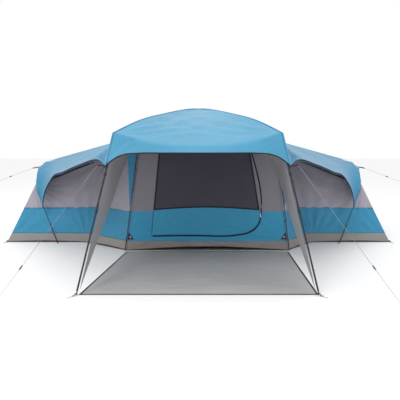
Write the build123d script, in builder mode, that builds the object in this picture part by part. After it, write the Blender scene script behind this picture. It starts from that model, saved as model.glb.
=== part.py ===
"""Family tent with a crossed-pole dome over the porch and living room and a bedroom wing on each side.

Millimetres. +Z is up, the porch faces -Y, and the origin is on the ground under the crossing of the
two long roof poles. Depths are counted backwards from the line through the two porch feet.
"""

import os

from build123d import *

# ---------------------------------------------------------------- driving dimensions
dome_depth = 5230.0          # porch feet to rear feet
porch_foot_half = 1240.0     # half the distance between the two porch feet
corner_depth = 647.0         # porch feet line to the roof corner above it
corner_height = 1640.0       # roof corner, on the pole's axis
crown_height = 2060.0        # top of the crossed poles, on the upper pole's axis
hub_height = 1300.0          # where the awning, the wing fly and the guy meet on the porch leg

wing_foot_half = 2235.0      # wing pole feet, from the middle
wing_front_depth = 2630.0    # front foot of the wing pole
wing_centre_depth = 3900.0   # middle of the wing pole
wing_lean = 0.375            # outward lean of the wing pole, per unit of height
wing_corner_half = 3060.0    # outer corners of the bedroom floor
wing_ridge_height = 1270.0   # fly over the top of the wing pole
wing_corner_inset = 70.0     # floor corners, outside the wing pole's feet along the depth
rear_inset = 110.0           # rear wall, in front of the rear feet
rear_corner_half = 1180.0    # rear wall's corners

front_wall_depth = 2085.0    # living-room front wall
front_wall_shift = 130.0     # the front wall's middle, to the right of the ridge
front_wall_half = 1185.0     # half the front wall at the ground
wall_lean = 0.138            # how far the front wall's sides close in, per unit of height

band_height = 560.0          # top of the coloured band on the walls
tub_height = 140.0           # top of the floor's upstand

leg_radius = 9.5             # steel lower poles
pole_radius = 6.0            # glass-fibre poles
wing_pole_radius = 5.5
rope_radius = 2.0
cloth = 1.6                  # thickness of the plain fabric solids
seam_gap = 2.5               # each fabric solid stops this far short of its seam line
sleeve_wall = 1.4
running_gap = 0.08           # sleeve on pole, runner on rope
joint_gap = 0.4              # between pieces that move past each other
pole_to_fly = 26.0           # fly fabric stands this far outside the pole axis


# ---------------------------------------------------------------- places
def pt(x, depth, z):
    """A point from its side offset, its depth behind the porch feet and its height."""
    return Vector(x, depth - dome_depth / 2, z)


def between(a, b, t):
    """The point a fraction t of the way from a to b."""
    return a + (b - a) * t


def at_height(a, b, z):
    """The point of the line a-b whose height is z."""
    return between(a, b, (z - a.Z) / (b.Z - a.Z))


def mirror_depth(p):
    """The same point on the rear half of the dome."""
    return Vector(p.X, -p.Y, p.Z)


def side_of(p, side):
    """A right-hand point moved to the side given as +1 or -1."""
    return Vector(p.X * side, p.Y, p.Z)


half_depth = dome_depth / 2
corner_half = porch_foot_half * (half_depth - corner_depth) / half_depth
foot = pt(porch_foot_half, 0, 0)
corner = pt(corner_half, corner_depth, corner_height)
crown = Vector(0, 0, crown_height)
leg_axis = (corner - foot).normalized()
hub = at_height(foot, corner, hub_height)

# fly points, right-hand side
fly_corner = corner + Vector(0.5, -1.0, 0.9) * pole_to_fly
fly_hub = hub + Vector(0.7, -0.9, 0) * pole_to_fly
fly_crown = crown + Vector(0, 0, 1.25 * pole_to_fly)

# profile of the crossed poles' fly: share of the way from corner to crown, share of the rise
roof_profile = [(0.0, 0.0), (0.26, 0.41), (0.53, 0.68), (0.74, 0.86), (0.9, 0.965), (1.0, 1.0)]


def roof_point(share, rise):
    """A point of the right front roof seam."""
    flat = between(fly_corner, fly_crown, share)
    return Vector(flat.X, flat.Y, fly_corner.Z + (fly_crown.Z - fly_corner.Z) * rise)


roof_seam = [roof_point(share, rise) for share, rise in roof_profile]


# ---------------------------------------------------------------- helpers that make solids
def flat_prism(points, thickness=cloth, gap=seam_gap):
    """One flat panel: the polygon through the points, drawn in by the gap and given a thickness."""
    normal = (points[1] - points[0]).cross(points[2] - points[0]).normalized()
    plane = Plane(origin=points[0], x_dir=points[1] - points[0], z_dir=normal)
    corners = [plane.to_local_coords(p) for p in points]
    with BuildSketch(plane) as outline:
        with BuildLine():
            Polyline([(c.X, c.Y) for c in corners], close=True)
        make_face()
        if gap:
            offset(amount=-gap, kind=Kind.INTERSECTION, mode=Mode.REPLACE)
    extrude(outline.sketch, amount=thickness / 2, both=True)


def is_flat(points, tolerance=0.3):
    """Whether a fourth point lies in the plane of the first three."""
    normal = (points[1] - points[0]).cross(points[2] - points[0]).normalized()
    return all(abs((p - points[0]).dot(normal)) < tolerance for p in points[3:])


def panel(points, thickness=cloth, gap=seam_gap):
    """A fabric panel: one flat prism, or two along the shorter diagonal of a twisted quadrangle."""
    if is_flat(points):
        flat_prism(points, thickness, gap)
    else:
        a, b, c, d = points
        if (c - a).length <= (d - b).length:
            halves = [[a, b, c], [a, c, d]]
        else:
            halves = [[a, b, d], [b, c, d]]
        for half in halves:
            flat_prism(half, thickness, gap)


def strips(upper, lower):
    """Panels between two lines of points of the same count."""
    for i in range(len(upper) - 1):
        quad = [upper[i], upper[i + 1], lower[i + 1], lower[i]]
        if (upper[i + 1] - lower[i + 1]).length < 1:
            flat_prism([quad[0], quad[1], quad[3]])
        elif (upper[i + 1] - upper[i]).length < 1:
            flat_prism([quad[0], quad[2], quad[3]])
        elif (lower[i + 1] - lower[i]).length < 1:
            flat_prism(quad[:3])
        else:
            panel(quad)


def rod(start, end, radius, bore=0.0):
    """A round rod, or a tube with a bore, from start to end."""
    plane = Plane(origin=start, z_dir=end - start)
    with BuildSketch(plane) as ring:
        Circle(radius)
        if bore:
            Circle(bore, mode=Mode.SUBTRACT)
    extrude(ring.sketch, amount=(end - start).length)


def write(part, label):
    """Label a finished sub-part and write its file."""
    part.label = label
    export_step(part, f"parts/{label}.step")


os.makedirs("parts", exist_ok=True)
sides = {"left": -1, "right": 1}

# ---------------------------------------------------------------- steel legs of the dome
tip_length = 45.0
tip_radius = 5.0
tip_seat = 30.0              # how far the tip's spigot reaches into the leg
elbow_length = 70.0          # each arm of the roof-corner elbow
elbow_gap = 3.0              # between the leg's end and the roof pole's end
leg_start = foot + leg_axis * (tip_length / leg_axis.Z * 0.9)
leg_end = corner - leg_axis * elbow_gap
joint_at = 0.52              # the leg's two halves meet at this share of its length

corners_of_dome = [(sx, sy) for sx in (1, -1) for sy in (1, -1)]


def place(p, quarter):
    """The right front point moved to one quarter of the dome."""
    return Vector(p.X * quarter[0], p.Y * quarter[1], p.Z)


for label, quarters in {"porch_legs": [(1, 1), (-1, 1)], "rear_legs": [(1, -1), (-1, -1)]}.items():
    with BuildPart() as legs:
        for quarter in quarters:
            middle = between(leg_start, leg_end, joint_at)
            bore = leg_radius - sleeve_wall
            rod(place(leg_start, quarter), place(middle - leg_axis * 0.2, quarter), leg_radius, bore)
            rod(place(middle + leg_axis * 0.2, quarter), place(leg_end, quarter), leg_radius, bore)
    write(legs.part, label)

ferrule_reach = 40.0         # to each side of the joint
with BuildPart() as leg_ferrules:
    for quarter in corners_of_dome:
        middle = between(leg_start, leg_end, joint_at)
        half = leg_axis * ferrule_reach
        inner = leg_radius + running_gap
        rod(place(middle - half, quarter), place(middle + half, quarter), inner + sleeve_wall, inner)
write(leg_ferrules.part, "leg_ferrules")

with BuildPart() as leg_tips:
    for quarter in corners_of_dome:
        seat = leg_start + leg_axis * tip_seat
        rod(place(leg_start, quarter), place(seat, quarter), leg_radius - sleeve_wall - running_gap)
        base = Vector(foot.X, foot.Y, 1.0)
        top = leg_start - leg_axis * 0.3
        rod(place(Vector(top.X, top.Y, 1.0), quarter), place(top, quarter), tip_radius)
write(leg_tips.part, "leg_tips")

# ---------------------------------------------------------------- crossed roof poles
crown_arc_half = 220.0       # half the tighter stretch where the poles cross
crown_arc_rise = 16.0        # how far that stretch rises above its ends
side_bow = 42.0              # bow of each long stretch above its chord
stretch_gap = 0.25           # between a long stretch and the crown's
crossing_offset = pole_radius + joint_gap


def roof_pole(sign, lift):
    """One roof pole, as three bent stretches in the vertical plane through two opposite feet."""
    direction = Vector(sign * corner.X, -corner.Y, 0).normalized()
    plane = Plane(origin=(0, 0, 0), x_dir=direction, z_dir=direction.cross(Vector(0, 0, 1)))
    reach = Vector(corner.X, corner.Y, 0).length - elbow_gap
    top = crown_height - lift
    shoulder = (crown_arc_half, top - crown_arc_rise)
    end = (reach, corner_height)
    middle = ((shoulder[0] + end[0]) / 2, (shoulder[1] + end[1]) / 2 + side_bow)
    for hand in (1, -1):
        with BuildLine(plane) as long_path:
            ThreePointArc((hand * (end[0]), end[1]), (hand * middle[0], middle[1]),
                          (hand * (shoulder[0] + stretch_gap), shoulder[1]))
        with BuildSketch(Plane(origin=long_path.line @ 0, z_dir=long_path.line % 0)) as section:
            Circle(pole_radius)
        sweep(section.sketch, path=long_path.line)
    with BuildLine(plane) as crown_path:
        ThreePointArc((-shoulder[0], shoulder[1]), (0, top), shoulder)
    with BuildSketch(Plane(origin=crown_path.line @ 0, z_dir=crown_path.line % 0)) as section:
        Circle(pole_radius)
    sweep(section.sketch, path=crown_path.line)


with BuildPart() as roof_pole_a:
    roof_pole(1, 0)
write(roof_pole_a.part, "roof_pole_a")

with BuildPart() as roof_pole_b:
    roof_pole(-1, 2 * crossing_offset)
write(roof_pole_b.part, "roof_pole_b")

with BuildPart() as roof_elbows:
    inner = leg_radius + running_gap
    for quarter in corners_of_dome:
        rod(place(corner - leg_axis * elbow_length, quarter), place(corner - leg_axis, quarter),
            inner + sleeve_wall, inner)
write(roof_elbows.part, "roof_elbows")

tie_size = (90.0, 60.0, 5.0)
tie_corner = 12.0
with BuildPart() as crown_tie:
    with BuildSketch(Plane.XY.offset(crown_height - 2 * crossing_offset - pole_radius - tie_size[2] - 1)):
        RectangleRounded(tie_size[0], tie_size[1], tie_corner)
    extrude(amount=tie_size[2])
write(crown_tie.part, "crown_tie")

# ---------------------------------------------------------------- front wall pole
wall_pole_depth = front_wall_depth - 25.0
wall_pole_half = 1200.0
wall_pole_shoulder = (985.0, 1560.0)
wall_pole_peak = 1990.0
pole_foot_height = 14.0
wall_pole_plane = Plane(origin=pt(front_wall_shift, wall_pole_depth, 0), x_dir=(1, 0, 0), z_dir=(0, -1, 0))
with BuildPart() as front_wall_pole:
    shoulder_x, shoulder_z = wall_pole_shoulder
    with BuildLine(wall_pole_plane) as wall_pole_path:
        FilletPolyline((-wall_pole_half, pole_foot_height), (-shoulder_x, shoulder_z), (0, wall_pole_peak),
                       (shoulder_x, shoulder_z), (wall_pole_half, pole_foot_height),
                       radius=[380, 900, 380])
    with BuildSketch(Plane(origin=wall_pole_path.line @ 0, z_dir=wall_pole_path.line % 0)):
        Circle(pole_radius)
    sweep(path=wall_pole_path.line)
write(front_wall_pole.part, "front_wall_pole")

# ---------------------------------------------------------------- wing poles
wing_half_depth = wing_centre_depth - wing_front_depth
wing_up = Vector(wing_lean, 0, 1).normalized()
wing_shoulder = (1215.0, 991.0)
wing_peak_corner = 1462.0
wing_radii = [600, 1900, 600]


def wing_plane(side):
    """The leaning plane of one wing pole: x towards the rear, y up the lean."""
    up = side_of(wing_up, side)
    back = Vector(0, 1, 0)
    return Plane(origin=pt(side * wing_foot_half, wing_centre_depth, 0), x_dir=back, z_dir=back.cross(up))


for name, side in sides.items():
    with BuildPart() as wing_pole:
        reach, rise = wing_shoulder
        with BuildLine(wing_plane(side)) as wing_path:
            FilletPolyline((-wing_half_depth, pole_foot_height), (-reach, rise), (0, wing_peak_corner),
                           (reach, rise), (wing_half_depth, pole_foot_height), radius=wing_radii)
        with BuildSketch(Plane(origin=wing_path.line @ 0, z_dir=wing_path.line % 0)):
            Circle(wing_pole_radius)
        sweep(path=wing_path.line)
    write(wing_pole.part, f"{name}_wing_pole")

# ---------------------------------------------------------------- pole feet, rings and webbing
arch_feet = [pt(front_wall_shift + s * wall_pole_half, wall_pole_depth, 0) for s in (1, -1)]
arch_feet += [pt(s * wing_foot_half, wing_centre_depth + e * wing_half_depth, 0)
              for s in (1, -1) for e in (1, -1)]
with BuildPart() as arch_pole_tips:
    for foot_point in arch_feet:
        rod(foot_point + Vector(0, 0, 1.0), foot_point + Vector(0, 0, pole_foot_height - 7), tip_radius - 1)
write(arch_pole_tips.part, "arch_pole_tips")

# ---------------------------------------------------------------- fly over the dome
awning_half = 800.0
awning_height = 1440.0


def on_front(x, z):
    """A point of the awning's front face, which leans back with the legs."""
    slope = (fly_corner.Y - fly_hub.Y) / (fly_corner.Z - fly_hub.Z)
    return Vector(x, fly_hub.Y + (z - fly_hub.Z) * slope, z)


def opposite(points):
    """The same points on the other side of the ridge."""
    return [Vector(-p.X, p.Y, p.Z) for p in points]


for label, turn in {"fly_roof_front": 1, "fly_roof_rear": -1}.items():
    with BuildPart() as gore:
        seam = [Vector(p.X, turn * p.Y, p.Z) for p in roof_seam]
        strips(seam, opposite(seam))
        edge = on_front(awning_half, awning_height)
        edge = Vector(edge.X, turn * edge.Y, edge.Z)
        low = Vector(fly_hub.X, turn * fly_hub.Y, fly_hub.Z)
        flat_prism([seam[0], edge, Vector(-edge.X, edge.Y, edge.Z), opposite(seam)[0]])
        flat_prism([seam[0], low, edge])
        flat_prism(opposite([seam[0], low, edge]))
    write(gore.part, label)

for name, side in sides.items():
    with BuildPart() as gore:
        front_seam = [side_of(p, side) for p in roof_seam]
        strips(front_seam, [mirror_depth(p) for p in front_seam])
    write(gore.part, f"fly_roof_{name}")

# ---------------------------------------------------------------- fly over the wings
beak = pt(2945, wing_centre_depth, 1150)
arch_top = pt(2720, wing_centre_depth, wing_ridge_height)


def rim_point(along, z):
    """A point just outside the wing pole, from its distance to the pole's middle and its height."""
    return pt(wing_foot_half + wing_lean * z, wing_centre_depth + along, z)


rim_places = [(330, 1262), (640, 1180), (885, 1104), (1098, 948), (1230, 752), (1270, 577)]
ridge_start = Vector(fly_corner.X + 4, 0, fly_corner.Z + 17)
ridge = [between(ridge_start, arch_top, i / 3) for i in range(4)]
eave_front = Vector(fly_corner.X + 2, fly_corner.Y / 2 - 18, fly_corner.Z + 9)
eave_rear = Vector(fly_corner.X + 3, wing_centre_depth - half_depth, fly_corner.Z + 9)
front_upper = [fly_corner, eave_front] + ridge + [rim_point(-along, z) for along, z in rim_places]
front_lower = [fly_hub, pt(1180, 850, 1362), pt(1500, 1330, 1290), pt(1900, 1930, 1160),
               pt(2285, 2465, 1020), pt(2344, 2555, 935), pt(2360, 2568, 905), pt(2377, 2580, 870),
               pt(2394, 2590, 835), pt(2412, 2600, 790), pt(2438, 2615, 680), front_upper[-1]]
rear_upper = [mirror_depth(fly_corner), eave_rear] + ridge + [rim_point(along, z) for along, z in rim_places]
rear_lower = [mirror_depth(fly_hub), pt(1210, 4830, 1290), pt(1500, 4900, 1240), pt(1900, 4980, 1130),
              pt(2285, 5140, 1000), pt(2344, 5195, 925), pt(2360, 5202, 895), pt(2377, 5206, 860),
              pt(2394, 5206, 825), pt(2412, 5202, 780), pt(2438, 5192, 680), rear_upper[-1]]

for name, side in sides.items():
    with BuildPart() as wing_fly:
        strips([side_of(p, side) for p in front_upper], [side_of(p, side) for p in front_lower])
        strips([side_of(p, side) for p in rear_upper], [side_of(p, side) for p in rear_lower])
    write(wing_fly.part, f"fly_wing_{name}")
    with BuildPart() as visor:
        for rim in (front_upper[5:10], rear_upper[5:10]):
            rim = [side_of(p, side) for p in rim]
            for near, far in zip(rim[:-1], rim[1:]):
                flat_prism([near, far, side_of(beak, side)])
    write(visor.part, f"fly_end_{name}")

# ---------------------------------------------------------------- awning side gussets
gusset_back = pt(975, 1930, 1450)
for name, side in sides.items():
    with BuildPart() as gusset:
        inset = Vector(-22, 16, 0)
        high = at_height(foot, corner, 1440) + inset
        low = at_height(foot, corner, 60) + inset
        flat_prism([side_of(p, side) for p in (high, low, gusset_back)])
    write(gusset.part, f"awning_gusset_{name}")

# ---------------------------------------------------------------- walls
junction_foot = pt(1800, wing_front_depth + 50, 0)
wing_front_foot = pt(wing_corner_half, wing_front_depth + wing_corner_inset, 0)
shoulder_out = pt(2650, wing_front_depth + 240, 880)
wall_normal = (wing_front_foot - junction_foot).cross(shoulder_out - junction_foot)


def on_wing_front(x, z):
    """A point of the wing's front wall plane."""
    a = junction_foot
    return Vector(x, a.Y - (wall_normal.X * (x - a.X) + wall_normal.Z * (z - a.Z)) / wall_normal.Y, z)


junction_top = on_wing_front(1300, 1430)
rear_depth = dome_depth - rear_inset
wing_rear_depth = 2 * wing_centre_depth - wing_front_depth - wing_corner_inset
wing_rear_foot = pt(wing_corner_half, wing_rear_depth, 0)
shoulder_rear = pt(2650, wing_rear_depth - 170, 880)
rear_foot = pt(rear_corner_half, rear_depth, 0)
rear_top = pt(900, rear_depth - 480, 1330)


def banded(a0, a1, b0, b1, low, high):
    """The piece of wall between the edges a0-a1 and b0-b1, from one height to another."""
    top_a = a1 if high is None else at_height(a0, a1, high)
    top_b = b1 if high is None else at_height(b0, b1, high)
    return [at_height(a0, a1, low), at_height(b0, b1, low), top_b, top_a]


def wall_corner(side, z):
    """The front wall's edge on one side at a height."""
    return pt(front_wall_shift + side * (front_wall_half - wall_lean * z), front_wall_depth, z)


wall_top_height = 1430.0
wall_edges = {}
for name, side in sides.items():
    wall_edges[f"body_side_{name}"] = (wall_corner(side, 0) + Vector(side * 4, 6, 0),
                                       wall_corner(side, wall_top_height) + Vector(side * 4, 6, 0),
                                       side_of(junction_foot, side), side_of(junction_top, side))
    wall_edges[f"wing_front_{name}"] = (side_of(junction_foot, side), side_of(junction_top, side),
                                        side_of(wing_front_foot, side), side_of(shoulder_out, side))
    wall_edges[f"wing_end_{name}"] = (side_of(wing_front_foot, side), side_of(shoulder_out, side),
                                      side_of(wing_rear_foot, side), side_of(shoulder_rear, side))
    wall_edges[f"wing_rear_{name}"] = (side_of(wing_rear_foot, side), side_of(shoulder_rear, side),
                                       side_of(rear_foot, side), side_of(rear_top, side))
wall_edges["rear"] = (rear_foot, rear_top, side_of(rear_foot, -1), side_of(rear_top, -1))

for label, (a0, a1, b0, b1) in wall_edges.items():
    with BuildPart() as wall:
        panel(banded(a0, a1, b0, b1, tub_height, band_height))
        panel(banded(a0, a1, b0, b1, band_height, None))
    write(wall.part, f"{label}_wall")

# ---------------------------------------------------------------- living-room front wall and door
door_outline = [(-810, 225), (-675, 1560), (582, 1560), (767, 500), (720, 370), (590, 275), (430, 240)]
door_gap = 6.0


def on_wall(x, z, forward=0.0):
    """A point of the front wall from its offset from the wall's middle and its height."""
    return pt(front_wall_shift + x, front_wall_depth - forward, z)


def wall_rim(side, z):
    """The wall's edge offset at a height."""
    return side * (front_wall_half - wall_lean * z)


def hinge_at(z):
    """The door's hinge edge offset at a height."""
    (x0, z0), (x1, z1) = door_outline[0], door_outline[1]
    return x0 + (x1 - x0) * (z - z0) / (z1 - z0)


def zip_side_at(z):
    """The door's zipped edge offset at a height."""
    (x0, z0), (x1, z1) = door_outline[3], door_outline[2]
    return x0 + (x1 - x0) * (z - z0) / (z1 - z0)


with BuildPart() as wall_low:
    rows = [(tub_height, 225), (225, band_height)]
    for low, high in rows:
        flat_prism([on_wall(wall_rim(-1, low), low), on_wall(hinge_at(low) - door_gap, low),
                    on_wall(hinge_at(high) - door_gap, high), on_wall(wall_rim(-1, high), high)])
    clear = door_gap / 2
    bottom = [(hinge_at(225) - clear, 225 - clear), (430 + clear, 240 - clear), (590 + clear, 275 - clear),
              (720 + 2 * clear, 370 - clear), (767 + 2 * clear, 500),
              (zip_side_at(band_height) + 2 * clear, band_height)]
    ground = [hinge_at(225) - clear, 430, 590, 760]
    for i in range(3):
        flat_prism([on_wall(*bottom[i]), on_wall(ground[i], tub_height),
                    on_wall(ground[i + 1], tub_height), on_wall(*bottom[i + 1])])
    rim = [(wall_rim(1, tub_height), tub_height), (wall_rim(1, 300), 300), (wall_rim(1, 430), 430),
           (wall_rim(1, band_height), band_height)]
    flat_prism([on_wall(*bottom[3]), on_wall(760, tub_height), on_wall(*rim[0]), on_wall(*rim[1])])
    flat_prism([on_wall(*bottom[3]), on_wall(*rim[1]), on_wall(*rim[2]), on_wall(*bottom[4])])
    flat_prism([on_wall(*bottom[4]), on_wall(*rim[2]), on_wall(*rim[3]), on_wall(*bottom[5])])
write(wall_low.part, "front_wall_lower")

door_top = 1560
with BuildPart() as wall_high:
    low, high = band_height, door_top + door_gap
    flat_prism([on_wall(wall_rim(-1, low), low), on_wall(hinge_at(low) - door_gap, low),
                on_wall(hinge_at(high) - door_gap, high), on_wall(wall_rim(-1, high), high)])
    flat_prism([on_wall(zip_side_at(low) + door_gap, low), on_wall(wall_rim(1, low), low),
                on_wall(wall_rim(1, high), high), on_wall(zip_side_at(high) + door_gap, high)])
    flat_prism([on_wall(wall_rim(-1, high), high), on_wall(wall_rim(1, high), high), on_wall(470, 1735),
                on_wall(0, 1850), on_wall(-470, 1735)])
write(wall_high.part, "front_wall_upper")

window_sill = 620.0
with BuildPart() as door_panel:
    flat_prism([on_wall(*door_outline[0]), on_wall(hinge_at(window_sill), window_sill),
                on_wall(zip_side_at(window_sill), window_sill)] + [on_wall(*p) for p in door_outline[3:]])
write(door_panel.part, "door_panel")
with BuildPart() as door_mesh:
    flat_prism([on_wall(hinge_at(window_sill), window_sill),
                on_wall(*door_outline[1]), on_wall(*door_outline[2]),
                on_wall(zip_side_at(window_sill), window_sill)])
write(door_mesh.part, "door_window_mesh")

zip_width = 8.0
zip_lift = 2.4
zip_offset = 10.0
zip_line = [(zip_side_at(1540) + zip_offset, 1540), (767 + zip_offset, 500)]
zip_curve = [(767 + zip_offset, 498), (728 + zip_offset, 362), (594 + zip_offset, 263),
             (432, 229), (-800, 214)]


def tape(start, end, width, lift, thickness=1.2, forward=None):
    """A flat tape on the front wall, between two wall points."""
    forward = lift if forward is None else forward
    a, b = on_wall(*start, forward), on_wall(*end, forward)
    across = (b - a).cross(Vector(0, 1, 0)).normalized() * (width / 2)
    flat_prism([a - across, b - across, b + across, a + across], thickness, 0)


with BuildPart() as door_zip:
    tape(zip_line[0], zip_line[1], zip_width, zip_lift)
    for start, end in zip(zip_curve[:-1], zip_curve[1:]):
        step = Vector(end[0] - start[0], end[1] - start[1]).normalized() * 2.5
        tape((start[0] + step.X, start[1] + step.Y), (end[0] - step.X, end[1] - step.Y), zip_width, zip_lift)
write(door_zip.part, "door_zip")

slider_forward = 7.0
slider_rest = 540.0
zip_foot = on_wall(zip_line[1][0], zip_line[1][1], slider_forward)
zip_head = on_wall(zip_line[0][0], zip_line[0][1], slider_forward)
zip_axis = (zip_head - zip_foot).normalized()
slider_centre = at_height(zip_foot, zip_head, slider_rest)
slider_plane = Plane(origin=slider_centre, x_dir=(0, -1, 0), z_dir=zip_axis)
with BuildPart() as zip_slider:
    with BuildSketch(slider_plane.offset(-9)):
        RectangleRounded(6.4, 11, 2)
    extrude(amount=18)
    eye_plane = Plane(origin=slider_centre + Vector(0, -4.4, 0), x_dir=(1, 0, 0), z_dir=zip_axis)
    with BuildSketch(eye_plane.offset(-3)):
        Circle(2.6)
    extrude(amount=6)
write(zip_slider.part, "zip_slider")

pull_pivot = slider_centre + Vector(0, -6.0, 0)
with BuildPart() as zip_pull:
    pull_centre = slider_centre + Vector(0, -8.2, 0) - zip_axis * 24
    pull_plane = Plane(origin=pull_centre, x_dir=(1, 0, 0), z_dir=(0, -1, 0))
    with BuildSketch(pull_plane):
        SlotOverall(42, 9, rotation=100)
        SlotOverall(16, 3.5, rotation=100, mode=Mode.SUBTRACT)
    extrude(amount=1.8)
write(zip_pull.part, "zip_pull")

# ---------------------------------------------------------------- floor
floor_gap = 3.0
sheet_thickness = 2.0


def ground_sheet(points, height=0.0, thickness=sheet_thickness, gap=floor_gap):
    """A flat sheet on the ground through points given as (x, depth)."""
    plan = [pt(x, depth, height + thickness / 2) for x, depth in points]
    flat_prism(plan, thickness, gap)


joint_half = junction_foot.X
joint_depth = wing_front_depth + 50
floor_rear = min(rear_depth, wing_rear_depth) - 5
living_plan = [(front_wall_shift - front_wall_half, front_wall_depth),
               (front_wall_shift + front_wall_half, front_wall_depth),
               (joint_half, joint_depth), (joint_half, floor_rear), (-joint_half, floor_rear),
               (-joint_half, joint_depth)]
wing_plan = [(joint_half, joint_depth + 10), (wing_corner_half, joint_depth + 25),
             (wing_corner_half, floor_rear), (joint_half, floor_rear)]
with BuildPart() as tub_floor:
    ground_sheet(living_plan)
    ground_sheet(wing_plan)
    ground_sheet([(-x, depth) for x, depth in wing_plan])
write(tub_floor.part, "tub_floor")

upstand_foot = 4.0
with BuildPart() as tub_upstand:
    for a0, a1, b0, b1 in wall_edges.values():
        panel(banded(a0, a1, b0, b1, upstand_foot, tub_height))
    flat_prism([on_wall(wall_rim(side, z), z)
                for side, z in ((-1, upstand_foot), (1, upstand_foot), (1, tub_height), (-1, tub_height))])
write(tub_upstand.part, "tub_upstand")

porch_gap = 95.0             # between the porch sheet and the front wall
porch_near = 30.0            # the sheet's near edge behind the line of the feet
porch_rear_half = front_wall_half - 10
porch_plan = [(22 - porch_foot_half, porch_near), (porch_foot_half, porch_near),
              (front_wall_shift + porch_rear_half, front_wall_depth - porch_gap),
              (front_wall_shift - porch_rear_half, front_wall_depth - porch_gap)]
binding_width = 22.0
with BuildPart() as porch_sheet:
    ground_sheet(porch_plan, gap=binding_width)
write(porch_sheet.part, "porch_groundsheet")


def inner_plan(points, inset):
    """The plan's four corners drawn in by an inset along each axis."""
    signs = [(1, 1), (-1, 1), (-1, -1), (1, -1)]
    return [(x + sx * inset, y + sy * inset) for (x, y), (sx, sy) in zip(points, signs)]


with BuildPart() as porch_binding:
    inner = inner_plan(porch_plan, binding_width - 2)
    for i in range(4):
        j = (i + 1) % 4
        ground_sheet([porch_plan[i], porch_plan[j], inner[j], inner[i]], gap=1.0, thickness=3.0)
write(porch_binding.part, "porch_binding")

# ---------------------------------------------------------------- inner roofs
inner_peak = (715.0, crown_height - 170)
with BuildPart() as inner_roof:
    peak = Vector(0, inner_peak[0], inner_peak[1])
    rear_rim = Vector(860, rear_top.Y - 80, rear_top.Z + 150)
    rim = [on_wall(-900, 1500, -60), on_wall(900, 1500, -60), junction_top, rear_rim,
           side_of(rear_rim, -1), side_of(junction_top, -1)]
    rim = [p - Vector(0, 0, 20) for p in rim]
    for i in range(6):
        flat_prism([rim[i], rim[(i + 1) % 6], peak], gap=8)
write(inner_roof.part, "living_room_mesh_roof")

for name, side in sides.items():
    with BuildPart() as wing_roof:
        near_front = junction_top + Vector(30, 20, -35)
        near_rear = Vector(1330, rear_top.Y - 40, rear_top.Z - 140)
        wing_peak = pt(2690, wing_centre_depth, 1135)
        far_front = shoulder_out + Vector(-40, 10, -30)
        far_rear = shoulder_rear + Vector(-40, -30, -30)
        for triangle in ([near_front, wing_peak, far_front], [near_front, wing_peak, near_rear],
                         [near_rear, wing_peak, far_rear]):
            flat_prism([side_of(p, side) for p in triangle], gap=10)
    write(wing_roof.part, f"wing_inner_roof_{name}")

# ---------------------------------------------------------------- pegs, rings and clips
peg_radius = 2.5
peg_length = 95.0
ring_outer = 16.0
ring_wire = 2.0
peg_spots = []
for quarter in corners_of_dome:
    peg_spots.append((place(foot, quarter), Vector(0.62 * quarter[0], -0.78 * quarter[1], 0)))
for s in (1, -1):
    peg_spots.append((side_of(wing_front_foot, s), Vector(s * 0.25, -0.97, 0)))
    peg_spots.append((side_of(wing_rear_foot, s), Vector(s * 0.7, 0.714, 0)))
    peg_spots.append((side_of(pt(wing_foot_half, wing_front_depth, 0), s), Vector(-s * 0.35, -0.94, 0)))

with BuildPart() as ground_pegs:
    for spot, outward in peg_spots:
        start = spot + outward * 12 + Vector(0, 0, peg_radius)
        rod(start, start + outward * peg_length, peg_radius)
write(ground_pegs.part, "ground_pegs")

ring_reach = 30.0            # ring's middle, out from the foot that it holds
with BuildPart() as ring_plates:
    for spot, outward in peg_spots:
        on_peg = spot + outward * ring_reach + Vector(0, 0, 2 * peg_radius + joint_gap)
        with BuildSketch(Plane(origin=on_peg, z_dir=(0, 0, 1))):
            Circle(ring_outer)
            Circle(ring_outer - 2 * ring_wire, mode=Mode.SUBTRACT)
        extrude(amount=2 * ring_wire)
write(ring_plates.part, "peg_rings")

clip_heights = [820.0, 1210.0]
clip_reach = 16.0            # half a clip's length along the leg
clip_wall = 3.0
clip_bore = leg_radius + sleeve_wall + 2 * running_gap + joint_gap
with BuildPart() as leg_clips:
    for s in (1, -1):
        for z in clip_heights:
            spot = side_of(at_height(foot, corner, z), s)
            axis = side_of(leg_axis, s)
            rod(spot - axis * clip_reach, spot + axis * clip_reach, clip_bore + clip_wall, clip_bore)
write(leg_clips.part, "leg_clips")

# ---------------------------------------------------------------- guy ropes, runners and their ends
guy_tab_length = 45.0
front_guy_top = hub + Vector(95, -60, 10)
front_guy_peg = pt(1925, -430, 6)
wing_guy_top = beak + Vector(100, 0, -20)
wing_guy_end = wing_guy_top + Vector(749, 0, -280)
rope_ends = {}
for name, side in sides.items():
    rope_ends[f"front_guy_{name}"] = (side_of(front_guy_top, side), side_of(front_guy_peg, side))
    rope_ends[f"wing_guy_{name}"] = (side_of(wing_guy_top, side), side_of(wing_guy_end, side))

runner_share = {"front": 0.74, "wing": 0.55}
runner_section = (15.0, 9.0, 3.0)
runner_length = 46.0
loop_radius = 16.0
for label, (top, end) in rope_ends.items():
    axis = (end - top).normalized()
    with BuildPart() as rope:
        rod(top, end - axis * loop_radius, rope_radius)
    write(rope.part, f"{label}_rope")
    middle = between(top, end, runner_share[label.split("_")[0]])
    with BuildPart() as runner:
        plane = Plane(origin=middle - axis * (runner_length / 2), z_dir=axis)
        with BuildSketch(plane):
            RectangleRounded(*runner_section)
            Circle(rope_radius + running_gap, mode=Mode.SUBTRACT)
        extrude(amount=runner_length)
    write(runner.part, f"{label}_runner")

with BuildPart() as guy_tabs:
    for label, (top, end) in rope_ends.items():
        axis = (end - top).normalized()
        rod(top - axis * guy_tab_length, top - axis * 0.3, 4.5)
write(guy_tabs.part, "guy_tabs")

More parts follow.
